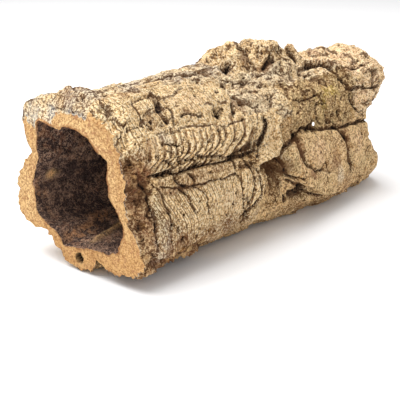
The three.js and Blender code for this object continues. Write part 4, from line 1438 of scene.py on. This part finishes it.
def cutMaterial(grain):
    look = cutFinish
    material, tree, place, grains = startMaterial("sawn cork", look, grain)
    ring = markNode(tree, "ring", "Vector")
    streaks = noiseNode(tree, stretchNode(tree, ring, (1.8, 0.2, 0.2)), 1.5, 4, 0.65, 0.3)
    threads = noiseNode(tree, stretchNode(tree, ring, (3.4, 0.3, 0.3)), 1.9, 3, 0.6, 0.2)
    cloud = noiseNode(tree, place, 130, 3, 0.55, 0.3)
    patch = noiseNode(tree, place, 75, 2, 0.5, 0.2)
    dots = noiseNode(tree, place, 520, 2, 0.5)
    share = addUp(
        tree, (rangeNode(tree, streaks, 0.36, 0.64), 0.5), (rangeNode(tree, cloud, 0.35, 0.65), 0.25),
        (grains["Light"], 0.45))
    colour = mixNode(tree, rangeNode(tree, share, 0.15, 1.05), look["tan"], look["cream"])

    # deeper orange outwards at the top and the front and towards the ground, and brown at both rims
    across, angle = markNode(tree, "across"), markNode(tree, "angle")
    height = addNode(tree, "SeparateXYZ", {"Vector": place})["Z"]
    outwards = times(tree, rangeNode(tree, angle, 50, 80), rangeNode(tree, angle, 250, 150),
                     rangeNode(tree, across, 0.35, 0.75))
    below = times(tree, rangeNode(tree, height, 34 * mm, 4 * mm), rangeNode(tree, angle, 120, 190),
                  rangeNode(tree, angle, 350, 300))
    innerRim = times(tree, rangeNode(tree, across, 0.16, 0.0), rangeNode(tree, cloud, 0.38, 0.6))
    outerRim = times(tree, rangeNode(tree, across, 0.82, 1.0), rangeNode(tree, cloud, 0.5, 0.62))
    colour = layOver(
        tree, look, colour,
        ("orange", times(tree, outwards, look["orangeOutwards"])),
        ("orange", times(tree, rangeNode(tree, patch, 0.5, 0.7), look["orangePatches"])),
        ("orange", times(tree, below, look["orangeBelow"])),
        ("brown", innerRim),
        ("brown", times(tree, outerRim, look["brownRim"])),
        ("brown", times(tree, grains["Dark"], look["darkGrains"])),
        ("dots", times(tree, rangeNode(tree, dots, 0.6, 0.66), look["dotShare"])),
        ("dots", rangeNode(tree, threads, 0.45, 0.35, 0, look["threads"])),
        # the blind hole painted black, as painted shade
        ("black", markNode(tree, "hole")))
    relief = addUp(tree, (grains["Height"], 0.9), (streaks, 1.4), (cloud, 1.2))
    return finishMaterial(material, look, colour, relief)


hollowFinish = {
    "black": (0.07, 0.043, 0.038, 1),
    "brown": (0.46, 0.285, 0.195, 1),
    "rust": (0.34, 0.13, 0.055, 1),
    "tan": (1.0, 0.60, 0.26, 1),
    "crumbs": (0.70, 0.34, 0.15, 1),
    "grains": (0.74, 0.48, 0.32, 1),
    "speckle": 0.6,
    "rustShare": 0.4,
    "crumbShare": 0.7,
    "tanShare": 0.95,
    "darkGrains": 0.85,
    "roughness": 0.9,
    "bump": 0.6,  # mm
}


def hollowMaterial(grain):
    look = hollowFinish
    material, tree, place, grains = startMaterial("hollow wall", look, grain)
    cloud = noiseNode(tree, stretchNode(tree, place, (0.5, 1, 1)), 190, 4, 0.62, 0.6)
    patch = noiseNode(tree, stretchNode(tree, place, (0.45, 1, 1)), 85, 3, 0.55, 0.3)
    spots = noiseNode(tree, place, 420, 3, 0.6, 0.5)
    share = addUp(tree, (rangeNode(tree, cloud, 0.35, 0.68), 0.5), (grains["Light"], 0.3),
                  (rangeNode(tree, spots, 0.4, 0.62), 0.3))
    colour = mixNode(tree, rangeNode(tree, share, 0.2, 1.0), look["black"], look["brown"])

    # rusty spots and crumbs, a tan rib and patches, and grains that shine out of the dark here and there
    rusty = times(tree, rangeNode(tree, spots, 0.5, 0.6), rangeNode(tree, patch, 0.42, 0.62))
    colour = layOver(
        tree, look, colour,
        ("rust", times(tree, rusty, look["rustShare"])),
        ("crumbs", times(tree, markedShare(tree, "rust", spots, 0.4, 0.56), look["crumbShare"])),
        ("tan", times(tree, markedShare(tree, "pale", spots, 0.28, 0.44), look["tanShare"])),
        ("grains", times(tree, grains["Light"], rangeNode(tree, patch, 0.42, 0.6, 0.08, 0.38))),
        ("black", times(tree, grains["Dark"], look["darkGrains"])))
    relief = addUp(tree, (grains["Height"], 1.0), (spots, 1.5))
    return finishMaterial(material, look, colour, relief)


corkBark = addTube()
print("tube made,", len(corkBark.data.vertices), "points")
corkGrain = corkGrainGroup()
corkBark.data.materials.append(barkMaterial(corkGrain, growthLinesGroup()))
corkBark.data.materials.append(cutMaterial(corkGrain))
corkBark.data.materials.append(hollowMaterial(corkGrain))
print("finishes made")
sculptTube(corkBark)
print("bark sculpted")
drillPinhole(corkBark)
print("pinhole drilled,", len(corkBark.data.polygons), "faces")
bpy.ops.object.shade_smooth_by_angle(angle=math.radians(55))

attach(corkBark, "root")
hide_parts("cork_tube")

print("done")
